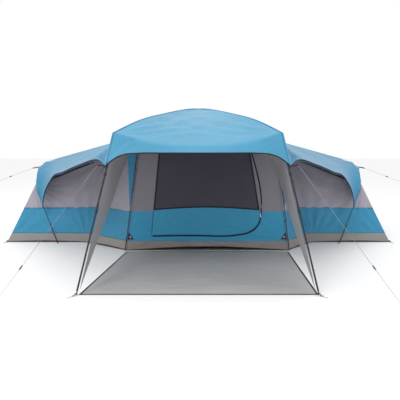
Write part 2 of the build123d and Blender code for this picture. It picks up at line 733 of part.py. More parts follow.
with BuildPart() as guy_loops:
    for label, (top, end) in rope_ends.items():
        if label.startswith("wing"):
            axis = (end - top).normalized()
            with BuildSketch(Plane(origin=end + axis * 0.4, x_dir=axis, z_dir=(0, 1, 0))):
                Circle(loop_radius)
                Circle(loop_radius - 4.5, mode=Mode.SUBTRACT)
            extrude(amount=2.2, both=True)
write(guy_loops.part, "guy_end_loops")

with BuildPart() as guy_pegs:
    for side in (1, -1):
        spot = side_of(front_guy_peg, side)
        outward = Vector(side * 0.72, -0.69, 0)
        on_ground = Vector(0, 0, peg_radius - spot.Z)
        rod(spot + outward * 8 + on_ground, spot + outward * 90 + on_ground, peg_radius)
write(guy_pegs.part, "guy_pegs")
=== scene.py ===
"""Family tent with a crossed-pole dome, an open porch and two bedroom wings.

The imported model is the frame: every place is read from it, in metres, and the soft parts, cords and
finishes are modelled here around it. The porch faces -Y and +Z is up.
"""

import logging
import math
from dataclasses import dataclass
from enum import Enum
from typing import Callable, Iterable, Optional, Sequence

import bmesh
import bpy
from mathutils import Matrix, Vector, noise


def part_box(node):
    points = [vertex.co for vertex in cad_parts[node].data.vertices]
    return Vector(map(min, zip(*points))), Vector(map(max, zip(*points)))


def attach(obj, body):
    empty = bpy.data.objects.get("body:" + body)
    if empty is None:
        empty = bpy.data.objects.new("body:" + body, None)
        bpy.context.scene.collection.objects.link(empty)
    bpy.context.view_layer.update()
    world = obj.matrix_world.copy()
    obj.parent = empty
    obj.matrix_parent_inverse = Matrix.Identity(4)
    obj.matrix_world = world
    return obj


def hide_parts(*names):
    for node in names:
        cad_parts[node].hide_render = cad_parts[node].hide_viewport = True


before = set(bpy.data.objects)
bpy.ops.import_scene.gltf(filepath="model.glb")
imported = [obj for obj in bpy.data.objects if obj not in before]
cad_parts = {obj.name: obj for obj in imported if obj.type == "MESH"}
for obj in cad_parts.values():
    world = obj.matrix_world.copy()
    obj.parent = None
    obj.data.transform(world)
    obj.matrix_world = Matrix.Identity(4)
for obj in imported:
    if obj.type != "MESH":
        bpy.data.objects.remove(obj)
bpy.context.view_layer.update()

log = logging.getLogger("tent")

Point = Vector
Colour = tuple[float, float, float]
BODY = "tent"
WING_CENTRE = 1.285
WING_FOOT = 2.235
WING_LEAN = 0.375
BEDROOM_CORNER = 3.060
JUNCTION = 1.800
BAND_END = 0.535
BAND = 0.545


# ---------------------------------------------------------------- finishes
class Weave(Enum):
    """How a cloth's threads cross, as threads per metre across and along and the depth of the relief."""

    TAFFETA = (900.0, 900.0, 0.00006)
    RIPSTOP = (200.0, 200.0, 0.00010)
    TARPAULIN = (420.0, 420.0, 0.00016)
    MESH = (520.0, 520.0, 0.00014)
    TAPE = (1400.0, 260.0, 0.00010)


class Nodes:
    """A small helper that adds and joins shader nodes in one material."""

    def __init__(self, name: str) -> None:
        """Start an empty node material of that name."""
        self.material = bpy.data.materials.new(name)
        self.material.use_nodes = True
        self.tree = self.material.node_tree
        self.tree.nodes.clear()
        self.output = self.add("ShaderNodeOutputMaterial")
        self.shader = self.add("ShaderNodeBsdfPrincipled")
        self.link(self.shader.outputs["BSDF"], self.output.inputs["Surface"])
        self.coords = self.add("ShaderNodeTexCoord")

    def add(self, kind: str, **settings: object) -> bpy.types.Node:
        """Add one node.

        Args:
            kind: Blender's name of the node type.
            settings: Properties of the node, or values of its inputs by name.

        Returns:
            The new node.
        """
        node = self.tree.nodes.new(kind)
        for key, value in settings.items():
            if hasattr(node, key):
                setattr(node, key, value)
            else:
                node.inputs[key.replace("_", " ")].default_value = value
        return node

    def link(self, source: bpy.types.NodeSocket, target: bpy.types.NodeSocket) -> None:
        """Join an output to an input."""
        self.tree.links.new(source, target)

    def texture(self, kind: str, place: str, scale: tuple[float, float, float],
                **settings: object) -> bpy.types.Node:
        """Add a texture read from a coordinate through a scaling Mapping node.

        Args:
            kind: Blender's name of the texture node.
            place: "Object" or "UV".
            scale: How many repeats there are per metre on each axis.
            settings: Properties or input values of the texture.

        Returns:
            The texture node.
        """
        mapping = self.add("ShaderNodeMapping")
        mapping.inputs["Scale"].default_value = scale
        self.link(self.coords.outputs[place], mapping.inputs["Vector"])
        texture = self.add(kind, **settings)
        self.link(mapping.outputs["Vector"], texture.inputs["Vector"])
        return texture

    def ramp(self, source: bpy.types.NodeSocket, low: Colour, high: Colour, start: float = 0.3,
             end: float = 0.7) -> bpy.types.NodeSocket:
        """Turn a value into a colour between two.

        Args:
            source: The value's socket.
            low: Colour at and under start.
            high: Colour at and over end.
            start: Lower value.
            end: Upper value.

        Returns:
            The colour's socket.
        """
        ramp = self.add("ShaderNodeValToRGB")
        ramp.color_ramp.elements[0].position = start
        ramp.color_ramp.elements[1].position = end
        ramp.color_ramp.elements[0].color = (*low, 1.0)
        ramp.color_ramp.elements[1].color = (*high, 1.0)
        self.link(source, ramp.inputs["Fac"])
        return ramp.outputs["Color"]

    def bump(self, height: bpy.types.NodeSocket, distance: float, strength: float,
             under: Optional[bpy.types.NodeSocket] = None) -> bpy.types.NodeSocket:
        """Add a bump.

        Args:
            height: The relief's socket.
            distance: Relief depth in metres.
            strength: From 0 to 1.
            under: The normal of a coarser relief that this one lies on.

        Returns:
            The normal's socket.
        """
        bump = self.add("ShaderNodeBump", Strength=strength, Distance=distance)
        self.link(height, bump.inputs["Height"])
        if under is not None:
            self.link(under, bump.inputs["Normal"])
        return bump.outputs["Normal"]


def shaded(colour: Colour, factor: float) -> Colour:
    """The colour made lighter or darker by a factor."""
    return tuple(min(1.0, c * factor) for c in colour)


@dataclass(frozen=True)
class ClothFinish:
    """A woven or coated cloth.

    Attributes:
        name: The finish's name.
        colour: Its colour, linear.
        weave: Thread count and relief, which also darkens the colour in the grooves as painted shade.
        rough: Roughness.
        sheen: Sheen weight.
        crumple: Depth in metres of the soft handling creases.
        mottle: How far the colour varies either way.
        alpha: 1 for closed cloth, less for an open mesh.
    """

    name: str
    colour: Colour
    weave: Weave = Weave.TAFFETA
    rough: float = 0.55
    sheen: float = 0.15
    crumple: float = 0.004
    mottle: float = 0.10
    alpha: float = 1.0

    def build(self) -> bpy.types.Material:
        """Make the cloth's material."""
        n = Nodes(self.name)
        across, along, relief = self.weave.value
        blotch = n.texture("ShaderNodeTexNoise", "Object", (1.6, 1.6, 1.6), Scale=1.0, Detail=5.0,
                           Roughness=0.6)
        tint = n.ramp(blotch.outputs["Fac"], shaded(self.colour, 1 - self.mottle),
                      shaded(self.colour, 1 + self.mottle))
        warp = n.texture("ShaderNodeTexWave", "UV", (across, 1.0, 1.0), bands_direction="X", Scale=0.31)
        weft = n.texture("ShaderNodeTexWave", "UV", (1.0, along, 1.0), bands_direction="Y", Scale=0.31)
        threads = n.add("ShaderNodeMath", operation="ADD")
        n.link(warp.outputs["Fac"], threads.inputs[0])
        n.link(weft.outputs["Fac"], threads.inputs[1])
        # Painted shade: the cloth is darker where the threads' relief is low, in the grooves between them.
        shade = n.ramp(threads.outputs["Value"], shaded(self.colour, 0.86), self.colour, 0.2, 1.4)
        mix = n.add("ShaderNodeMix", data_type="RGBA")
        mix.inputs["Factor"].default_value = 0.35
        n.link(tint, mix.inputs["A"])
        n.link(shade, mix.inputs["B"])
        n.link(mix.outputs["Result"], n.shader.inputs["Base Color"])
        folds = n.texture("ShaderNodeTexNoise", "Object", (5.0, 5.0, 5.0), Scale=1.0, Detail=6.0,
                          Roughness=0.55, Distortion=0.6)
        coarse = n.bump(folds.outputs["Fac"], self.crumple, 1.0)
        fine = n.bump(threads.outputs["Value"], relief, 0.5, coarse)
        n.link(fine, n.shader.inputs["Normal"])
        wear = n.texture("ShaderNodeTexNoise", "Object", (9.0, 9.0, 9.0), Scale=1.0, Detail=3.0)
        spread = n.add("ShaderNodeMapRange")
        spread.inputs["To Min"].default_value = self.rough - 0.07
        spread.inputs["To Max"].default_value = self.rough + 0.07
        n.link(wear.outputs["Fac"], spread.inputs["Value"])
        n.link(spread.outputs["Result"], n.shader.inputs["Roughness"])
        n.shader.inputs["Sheen Weight"].default_value = self.sheen
        n.shader.inputs["Sheen Roughness"].default_value = 0.4
        n.shader.inputs["Specular IOR Level"].default_value = 0.3
        n.shader.inputs["Alpha"].default_value = self.alpha
        return n.material


@dataclass(frozen=True)
class HardFinish:
    """Painted, moulded or bare hard parts.

    Attributes:
        name: The finish's name.
        colour: Its colour, linear.
        worn: Its colour where it is rubbed.
        metal: 0 or 1.
        rough: Roughness.
        grain: Repeats of the surface grain per metre on each axis.
    """

    name: str
    colour: Colour
    worn: Colour
    metal: float = 0.0
    rough: float = 0.4
    grain: tuple[float, float, float] = (220.0, 220.0, 220.0)

    def build(self) -> bpy.types.Material:
        """Make the hard part's material."""
        n = Nodes(self.name)
        grain = n.texture("ShaderNodeTexNoise", "Object", self.grain, Scale=1.0, Detail=4.0)
        scuffs = n.texture("ShaderNodeTexNoise", "Object", (14.0, 14.0, 40.0), Scale=1.0, Detail=6.0,
                           Roughness=0.7)
        n.link(n.ramp(scuffs.outputs["Fac"], self.colour, self.worn, 0.62, 0.80),
               n.shader.inputs["Base Color"])
        spread = n.add("ShaderNodeMapRange")
        spread.inputs["To Min"].default_value = self.rough * 0.8
        spread.inputs["To Max"].default_value = self.rough * 1.25
        n.link(grain.outputs["Fac"], spread.inputs["Value"])
        n.link(spread.outputs["Result"], n.shader.inputs["Roughness"])
        n.link(n.bump(grain.outputs["Fac"], 0.0001, 0.4), n.shader.inputs["Normal"])
        n.shader.inputs["Metallic"].default_value = self.metal
        return n.material


@dataclass(frozen=True)
class BraidFinish:
    """A braided cord, whose strands cross in a diamond pattern along the cord's own UV map, with painted shade
    in the grooves between them.
    """

    name: str
    colour: Colour
    # Darker colour where the strands dip, in the braid's grooves: painted shade.
    braid_groove_shade: Colour

    def build(self) -> bpy.types.Material:
        """Make the cord's material."""
        n = Nodes(self.name)
        left = n.texture("ShaderNodeTexWave", "UV", (4.0, 60.0, 1.0), bands_direction="DIAGONAL", Scale=1.0)
        right = n.texture("ShaderNodeTexWave", "UV", (-4.0, 60.0, 1.0), bands_direction="DIAGONAL", Scale=1.0)
        cross = n.add("ShaderNodeMath", operation="MULTIPLY")
        n.link(left.outputs["Fac"], cross.inputs[0])
        n.link(right.outputs["Fac"], cross.inputs[1])
        # Painted shade: the cord turns darker where the crossing relief is low.
        n.link(n.ramp(cross.outputs["Value"], self.braid_groove_shade, self.colour, 0.05, 0.4),
               n.shader.inputs["Base Color"])
        n.link(n.bump(cross.outputs["Value"], 0.0004, 0.8), n.shader.inputs["Normal"])
        n.shader.inputs["Roughness"].default_value = 0.75
        n.shader.inputs["Sheen Weight"].default_value = 0.3
        return n.material


class Palette:
    """Every finish of the tent, built once."""

    def __init__(self) -> None:
        """Build the materials."""
        self.seam = ClothFinish("fly_seam_blue", (0.07, 0.31, 0.53), Weave.TAPE,
                                rough=0.5, sheen=0.2, crumple=0.001, mottle=0.07).build()
        # A darker copy of the fly blue, for the wing slopes, the porch gussets and the fly's tongues: painted
        # shade.
        self.fly_blue_painted_shade = ClothFinish("fly_blue_with_painted_shade", (0.034, 0.225, 0.39), Weave.RIPSTOP,
                                     rough=0.5, sheen=0.2, crumple=0.003).build()
        self.wall_seam = ClothFinish("wall_seam_blue", (0.035, 0.17, 0.30), Weave.TAPE,
                                     rough=0.6, sheen=0.2, crumple=0.001).build()
        self.fly = ClothFinish("fly_sky_blue", (0.062, 0.290, 0.46), Weave.RIPSTOP,
                               rough=0.42, sheen=0.15, crumple=0.004, mottle=0.07).build()
        self.lining = ClothFinish("silver_grey_lining", (0.34, 0.32, 0.335), Weave.TAFFETA,
                                  rough=0.5, sheen=0.1, crumple=0.003).build()
        self.wall_blue = ClothFinish("wall_blue", (0.037, 0.258, 0.435), Weave.TAFFETA,
                                     rough=0.5, sheen=0.2, crumple=0.005, mottle=0.08).build()
        self.wall_grey = ClothFinish("wall_grey", (0.36, 0.345, 0.40), Weave.TAFFETA,
                                     rough=0.6, sheen=0.2, crumple=0.004, mottle=0.06).build()
        # The front wall's blue is a lighter copy of the wall blue: painted light.
        self.front_blue_painted_light = ClothFinish("front_wall_blue_painted_light", (0.040, 0.315, 0.53), Weave.TAFFETA,
                                      rough=0.5, sheen=0.2, crumple=0.005, mottle=0.08).build()
        # The front wall's grey is a darker copy of the wall grey: painted shade.
        self.front_grey_painted_shade = ClothFinish("front_wall_grey_painted_shade", (0.25, 0.24, 0.275), Weave.TAFFETA,
                                      rough=0.6, sheen=0.2, crumple=0.004, mottle=0.06).build()
        self.skirt = ClothFinish("tub_grey", (0.27, 0.26, 0.25), Weave.TARPAULIN,
                                 rough=0.4, sheen=0.05, crumple=0.006, mottle=0.12).build()
        self.ground = ClothFinish("porch_grey", (0.45, 0.45, 0.455), Weave.TARPAULIN,
                                  rough=0.45, sheen=0.05, crumple=0.004, mottle=0.10).build()
        self.mesh = ClothFinish("window_mesh", (0.080, 0.076, 0.105), Weave.MESH,
                                rough=0.8, sheen=0.1, crumple=0.002, mottle=0.1, alpha=0.93).build()
        self.binding = ClothFinish("black_binding", (0.012, 0.013, 0.018), Weave.TAPE,
                                   rough=0.6, sheen=0.1, crumple=0.0004, mottle=0.2).build()
        # Navy is the wing fly's edge binding and also a band of painted shadow under its free edge.
        self.navy = ClothFinish("navy_binding_and_painted_shadow", (0.012, 0.050, 0.105), Weave.TAPE,
                                rough=0.6, sheen=0.1, crumple=0.0006, mottle=0.2).build()
        self.maroon = ClothFinish("maroon_webbing", (0.075, 0.018, 0.030), Weave.TAPE,
                                  rough=0.7, sheen=0.1, crumple=0.0004, mottle=0.2).build()
        self.zip = ClothFinish("zip_black", (0.010, 0.010, 0.013), Weave.TAPE,
                               rough=0.5, sheen=0.0, crumple=0.0003, mottle=0.2).build()
        self.steel = HardFinish("black_powder_coat", (0.012, 0.012, 0.014), (0.05, 0.05, 0.055),
                                metal=0.0, rough=0.38).build()
        self.rod = HardFinish("black_glass_fibre", (0.014, 0.014, 0.016), (0.06, 0.06, 0.06),
                              metal=0.0, rough=0.3).build()
        self.eyelet = HardFinish("white_eyelet", (0.80, 0.80, 0.82), (0.6, 0.6, 0.6),
                                 metal=0.0, rough=0.4).build()
        self.plastic = HardFinish("black_plastic", (0.015, 0.015, 0.017), (0.04, 0.04, 0.045),
                                  metal=0.0, rough=0.5).build()
        self.bright = HardFinish("bright_steel", (0.45, 0.45, 0.47), (0.25, 0.24, 0.23),
                                 metal=1.0, rough=0.35).build()
        self.chrome = HardFinish("zip_chrome", (0.75, 0.75, 0.77), (0.5, 0.5, 0.5),
                                 metal=1.0, rough=0.2).build()
        self.rope = BraidFinish("guy_braid", (0.34, 0.34, 0.35), (0.18, 0.18, 0.19)).build()


# ---------------------------------------------------------------- rails and patches
class Rail:
    """A smooth line through a few points, which a cloth's edge follows."""

    def __init__(self, points: Sequence[Point], straight: bool = False,
                 marks: Optional[Sequence[float]] = None) -> None:
        """Keep the points.

        Args:
            points: Two or more points along the line.
            straight: True for straight runs from point to point.
            marks: Shares at which the points stand, or None for their shares of the length.
        """
        self.points = [Vector(p) for p in points]
        self.straight = straight or len(points) < 3
        steps = [(b - a).length for a, b in zip(self.points[:-1], self.points[1:])]
        total = sum(steps) or 1.0
        self.marks = list(marks) if marks else [sum(steps[:i]) / total for i in range(len(self.points))]
        self.length = total

    def at(self, t: float) -> Point:
        """The point at a share t of the line's length."""
        t = min(1.0, max(0.0, t))
        i = max(k for k in range(len(self.marks) - 1) if self.marks[k] <= t or k == 0)
        span = self.marks[i + 1] - self.marks[i] or 1.0
        s = (t - self.marks[i]) / span
        a, b = self.points[i], self.points[i + 1]
        if self.straight:
            return a.lerp(b, s)
        before = self.points[i - 1] if i else a * 2 - b
        after = self.points[i + 2] if i + 2 < len(self.points) else b * 2 - a
        gap_before = (a - before).length or 1.0
        gap_after = (after - b).length or 1.0
        gap = (b - a).length or 1.0
        slope_a = ((b - a) / gap * gap_before + (a - before) / gap_before * gap) / (gap + gap_before) * gap
        slope_b = ((after - b) / gap_after * gap + (b - a) / gap * gap_after) / (gap + gap_after) * gap
        if not i:
            slope_a = (b - a) * 1.5 - slope_b * 0.5
        if i + 2 >= len(self.points):
            slope_b = (b - a) * 1.5 - slope_a * 0.5
        s2, s3 = s * s, s * s * s
        return (a * (2 * s3 - 3 * s2 + 1) + slope_a * (s3 - 2 * s2 + s) + b * (3 * s2 - 2 * s3)
                + slope_b * (s3 - s2))


@dataclass
class Pull:
    """Creases that fan out from a point where a cloth is pulled.

    Attributes:
        place: Where it is pulled.
        depth: Height of the creases next to that place.
        reach: How far they carry, in metres.
        count: Creases in a full turn round the place.
        phase: Turns the fan.
    """

    place: Point
    depth: float = 0.012
    reach: float = 0.7
    count: float = 26.0
    phase: float = 0.0

    def lift(self, point: Point, east: Point, north: Point) -> float:
        """Height of the creases at a point of the cloth, whose directions across it are east and north."""
        away = point - self.place
        distance = away.length
        if distance < 1e-4:
            return 0.0
        angle = math.atan2(away.dot(north), away.dot(east))
        start = 1 - math.exp(-((distance / 0.10) ** 2))
        wander = noise.noise(point * 1.7 + Vector((self.phase, 3.1, 0.7)))
        wave = math.sin(angle * self.count + self.phase + 2.2 * wander)
        wave = math.copysign(abs(wave) ** 1.4, wave)
        return self.depth * start * math.exp(-distance / self.reach) * wave


class Cloth:
    """One sheet of cloth made of patches that share their edges."""

    def __init__(self, name: str) -> None:
        """Start an empty sheet."""
        self.name = name
        self.bm = bmesh.new()
        self.uv = self.bm.loops.layers.uv.new("UVMap")

    def patch(self, south: Rail, north: Rail, west: Rail, east: Rail, columns: int, rows: int,
              outward: Point, relax: int = 30, zone: Optional[Callable[[Point], int]] = None,
              pulls: Sequence[Pull] = (), ripple: float = 0.0, ripple_scale: float = 1.6) -> None:
        """Stretch a patch between four edges.

        Args:
            south: The lower edge, from west to east.
            north: The upper edge, from west to east.
            west: The west edge, upwards.
            east: The east edge, upwards.
            columns: Faces across.
            rows: Faces up.
            outward: Roughly where the cloth's outer face looks.
            relax: Rounds of tightening, which pull the cloth as taut as its edges allow.
            zone: Gives the finish's number at a face's middle.
            pulls: Fans of creases.
            ripple: Height of the loose ripples.
            ripple_scale: Ripples per metre.
        """
        bm, uv = self.bm, self.uv
        made = bmesh.ops.create_grid(bm, x_segments=columns, y_segments=rows, size=0.5, calc_uvs=False)
        verts = made["verts"]
        corners = [south.at(0), south.at(1), north.at(0), north.at(1)]
        across = max(south.length, north.length)
        up = max(west.length, east.length)
        flat = {v: (v.co.x + 0.5, v.co.y + 0.5) for v in verts}
        souths = [(south.at(k / columns), north.at(k / columns)) for k in range(columns + 1)]
        wests = [(west.at(k / rows), east.at(k / rows)) for k in range(rows + 1)]
        for v, (s, t) in flat.items():
            low, high = souths[round(s * columns)]
            left, right = wests[round(t * rows)]
            v.co = (low * (1 - t) + high * t + left * (1 - s) + right * s
                    - corners[0] * (1 - s) * (1 - t) - corners[1] * s * (1 - t)
                    - corners[2] * (1 - s) * t - corners[3] * s * t)
        faces = {f for v in verts for f in v.link_faces}
        for f in faces:
            for loop in f.loops:
                s, t = flat[loop.vert]
                loop[uv].uv = (s * across, t * up)
        free = [v for v, (s, t) in flat.items() if 0.001 < s < 0.999 and 0.001 < t < 0.999]
        for _ in range(relax):
            bmesh.ops.smooth_vert(bm, verts=free, factor=0.5, use_axis_x=True, use_axis_y=True,
                                  use_axis_z=True)
        bm.normal_update()
        total = Vector()
        for f in faces:
            total += f.normal * f.calc_area()
        if total.dot(outward) < 0:
            bmesh.ops.reverse_faces(bm, faces=list(faces))
            bm.normal_update()
        if pulls or ripple:
            east_way = (corners[1] - corners[0]).normalized()
            north_way = total.normalized().cross(east_way)
            lifts = {}
            for v in free:
                s, t = flat[v]
                edge = min(1.0, 9 * min(s, 1 - s), 9 * min(t, 1 - t))
                lift = sum(p.lift(v.co, east_way, north_way) for p in pulls)
                if ripple:
                    lift += ripple * noise.fractal(v.co * ripple_scale, 0.8, 2.1, 4)
                lifts[v] = v.normal * (lift * edge)
            for v, move in lifts.items():
                v.co += move
        if zone is not None:
            for f in faces:
                f.material_index = zone(f.calc_center_median())

    def soften(self, line: Sequence[Point], reach: float, rounds: int) -> None:
        """Smooth the cloth near a line, so that a fold there is rounded.

        Args:
            line: Points along the fold, close together.
            reach: How far from the line the smoothing goes.
            rounds: How many times it is smoothed.
        """
        bmesh.ops.remove_doubles(self.bm, verts=self.bm.verts[:], dist=0.0012)
        near = [v for v in self.bm.verts
                if not v.is_boundary and min((v.co - p).length for p in line) < reach]
        for _ in range(rounds):
            bmesh.ops.smooth_vert(self.bm, verts=near, factor=0.5, use_axis_x=True, use_axis_y=True,
                                  use_axis_z=True)

    def divide(self, height: float, zone: Callable[[Point], int]) -> None:
        """Cut the faces along a height and give each its finish's number."""
        geometry = self.bm.verts[:] + self.bm.edges[:] + self.bm.faces[:]
        bmesh.ops.bisect_plane(self.bm, geom=geometry, plane_co=(0, 0, height), plane_no=(0, 0, 1), dist=1e-5)
        for f in self.bm.faces:
            f.material_index = zone(f.calc_center_median())

    def finish(self, finishes: Sequence[bpy.types.Material], thickness: float = 0.0012,
               lining: Optional[int] = None, merge: float = 0.0015) -> bpy.types.Object:
        """Close the sheet into a thin piece.

        Args:
            finishes: Materials by zone number, with the lining last where there is one.
            thickness: Cloth thickness in metres.
            lining: How many places down the list the inner face's finish is, or None for the same.
            merge: Distance under which neighbouring patches' points become one.

        Returns:
            The finished object.
        """
        bmesh.ops.remove_doubles(self.bm, verts=self.bm.verts[:], dist=merge)
        bmesh.ops.dissolve_degenerate(self.bm, edges=self.bm.edges[:], dist=0.0002)
        piece = to_object(self.bm, self.name, finishes)
        solid = piece.modifiers.new("thickness", "SOLIDIFY")
        solid.thickness = thickness
        solid.offset = -1.0
        if lining is not None:
            solid.material_offset = lining
        return piece


def to_object(bm: bmesh.types.BMesh, name: str, finishes: Sequence[bpy.types.Material],
              smooth: bool = True) -> bpy.types.Object:
    """Turn a bmesh into an object at the origin.

    Args:
        bm: The mesh, which is used up.
        name: The object's name.
        finishes: Its materials.
        smooth: Whether its faces are shaded smooth.

    Returns:
        The object, linked to the scene.
    """
    mesh = bpy.data.meshes.new(name)
    for f in bm.faces:
        f.smooth = smooth
    bm.to_mesh(mesh)
    bm.free()
    for m in finishes:
        mesh.materials.append(m)
    obj = bpy.data.objects.new(name, mesh)
    bpy.context.scene.collection.objects.link(obj)
    return obj


def frames_along(points: Sequence[Point], up: Point) -> list[tuple[Point, Point]]:
    """Side and lift directions at each point of a line, turning as little as possible.

    Args:
        points: The line's points.
        up: The lift direction to start from.

    Returns:
        A side and a lift direction for each point.
    """
    found = []
    lift = up
    for i in range(len(points)):
        way = (points[min(i + 1, len(points) - 1)] - points[max(i - 1, 0)]).normalized()
        lift = (lift - way * lift.dot(way)).normalized()
        found.append((way.cross(lift), lift))
    return found


def tube_along(name: str, points: Sequence[Point], radius: float, finish: bpy.types.Material,
               sides: int = 10, flatten: float = 1.0, up: Point = Vector((0.13, 0.21, 1.0)),
               merge: bool = True) -> bpy.types.Object:
    """Make a round or flattened tube along points.

    Args:
        name: The object's name.
        points: Points close together along the middle of the tube.
        radius: Half its width.
        finish: Its material.
        sides: Faces round it.
        flatten: Thickness as a share of the width.
        up: Direction that its thin way keeps to.
        merge: Whether the two ends are closed.

    Returns:
        The tube, with a UV map in metres along it.
    """
    bm = bmesh.new()
    uv = bm.loops.layers.uv.new("UVMap")
    rows = len(points) - 1
    verts = bmesh.ops.create_grid(bm, x_segments=sides, y_segments=rows, size=0.5)["verts"]
    runs = [0.0]
    for a, b in zip(points[:-1], points[1:]):
        runs.append(runs[-1] + (b - a).length)
    frames = frames_along(points, up)
    place = {v: (round((v.co.x + 0.5) * sides), round((v.co.y + 0.5) * rows)) for v in verts}
    for f in bm.faces:
        for loop in f.loops:
            k, i = place[loop.vert]
            loop[uv].uv = (k / sides * math.tau * radius, runs[i])
    for v, (k, i) in place.items():
        side, lift = frames[i]
        turn = math.tau * k / sides
        v.co = points[i] + side * (math.cos(turn) * radius) + lift * (math.sin(turn) * radius * flatten)
    bmesh.ops.remove_doubles(bm, verts=bm.verts[:], dist=radius * flatten * 0.02)
    if merge:
        bmesh.ops.holes_fill(bm, edges=bm.edges[:], sides=sides)
    bmesh.ops.recalc_face_normals(bm, faces=bm.faces[:])
    return to_object(bm, name, [finish])


def ribbon(name: str, points: Sequence[Point], width: float, finish: bpy.types.Material, up: Point,
           thickness: float = 0.0014, lift: float = 0.0) -> bpy.types.Object:
    """Make a flat tape along points.

    Args:
        name: The object's name.
        points: Points along the tape's middle.
        width: Its width.
        finish: Its material.
        up: Roughly where its face looks.
        thickness: Its thickness.
        lift: How far it stands off its points along its face's direction.

    Returns:
        The tape, with a UV map in metres.
    """
    bm = bmesh.new()
    uv = bm.loops.layers.uv.new("UVMap")
    rows = len(points) - 1
    verts = bmesh.ops.create_grid(bm, x_segments=4, y_segments=rows, size=0.5)["verts"]
    runs = [0.0]
    for a, b in zip(points[:-1], points[1:]):
        runs.append(runs[-1] + (b - a).length)
    frames = frames_along(points, up)
    place = {v: (v.co.x, round((v.co.y + 0.5) * rows)) for v in verts}
    for f in bm.faces:
        for loop in f.loops:
            across, i = place[loop.vert]
            loop[uv].uv = (across * width, runs[i])
    for v, (across, i) in place.items():
        side, face = frames[i]
        v.co = points[i] + side * (across * width) + face * lift
    bm.normal_update()
    total = sum((f.normal for f in bm.faces), Vector())
    if total.dot(up) < 0:
        bmesh.ops.reverse_faces(bm, faces=bm.faces[:])
    piece = to_object(bm, name, [finish])
    solid = piece.modifiers.new("thickness", "SOLIDIFY")
    solid.thickness = thickness
    solid.offset = -1.0
    return piece


def ring(name: str, centre: Point, axis: Point, radius: float, wire: float,
         finish: bpy.types.Material) -> bpy.types.Object:
    """Make a round ring.

    Args:
        name: The object's name.
        centre: Its middle.
        axis: The direction of its hole.
        radius: Radius of its centreline.
        wire: Radius of its wire.
        finish: Its material.

    Returns:
        The ring.
    """
    bm = bmesh.new()
    section = bmesh.ops.create_circle(bm, segments=10, radius=wire)["verts"]
    bmesh.ops.rotate(bm, verts=section, matrix=Matrix.Rotation(math.pi / 2, 3, "X"))
    bmesh.ops.translate(bm, verts=section, vec=(radius, 0, 0))
    bmesh.ops.spin(bm, geom=bm.verts[:] + bm.edges[:], axis=(0, 0, 1), angle=math.tau, steps=28,
                   use_merge=True)
    bmesh.ops.remove_doubles(bm, verts=bm.verts[:], dist=1e-5)
    bmesh.ops.recalc_face_normals(bm, faces=bm.faces[:])
    turn = axis.to_track_quat("Z", "Y").to_matrix()
    bmesh.ops.transform(bm, matrix=Matrix.Translation(centre) @ turn.to_4x4(), verts=bm.verts[:])
    return to_object(bm, name, [finish])


def keep(piece: bpy.types.Object, body: str = BODY,
         stands_for: Sequence[str] = ()) -> bpy.types.Object:
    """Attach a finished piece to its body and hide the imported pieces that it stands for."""
    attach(piece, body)
    if stands_for:
        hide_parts(*stands_for)
    log.info("%s: %d faces on %s", piece.name, len(piece.data.polygons), body)
    return piece


def cloth_sheet(piece: bpy.types.Object, cut: tuple[float, float], area: float) -> None:
    """Log a sheet of cloth's area as made and as cut."""
    made = sum(p.area for p in piece.data.polygons)
    log.info("%s: %.3f square metres made, %.3f cut", piece.name, made, area)


def sampled(rail: Rail, count: int) -> list[Point]:
    """Evenly spread points of a rail."""
    return [rail.at(i / count) for i in range(count + 1)]


def flip(points: Sequence[Sequence[float]], side: int) -> list[Point]:
    """Right-hand points moved to the side given as +1 or -1."""
    return [Vector((x * side, y, z)) for x, y, z in points]


SIDES = {"left": -1, "right": 1}


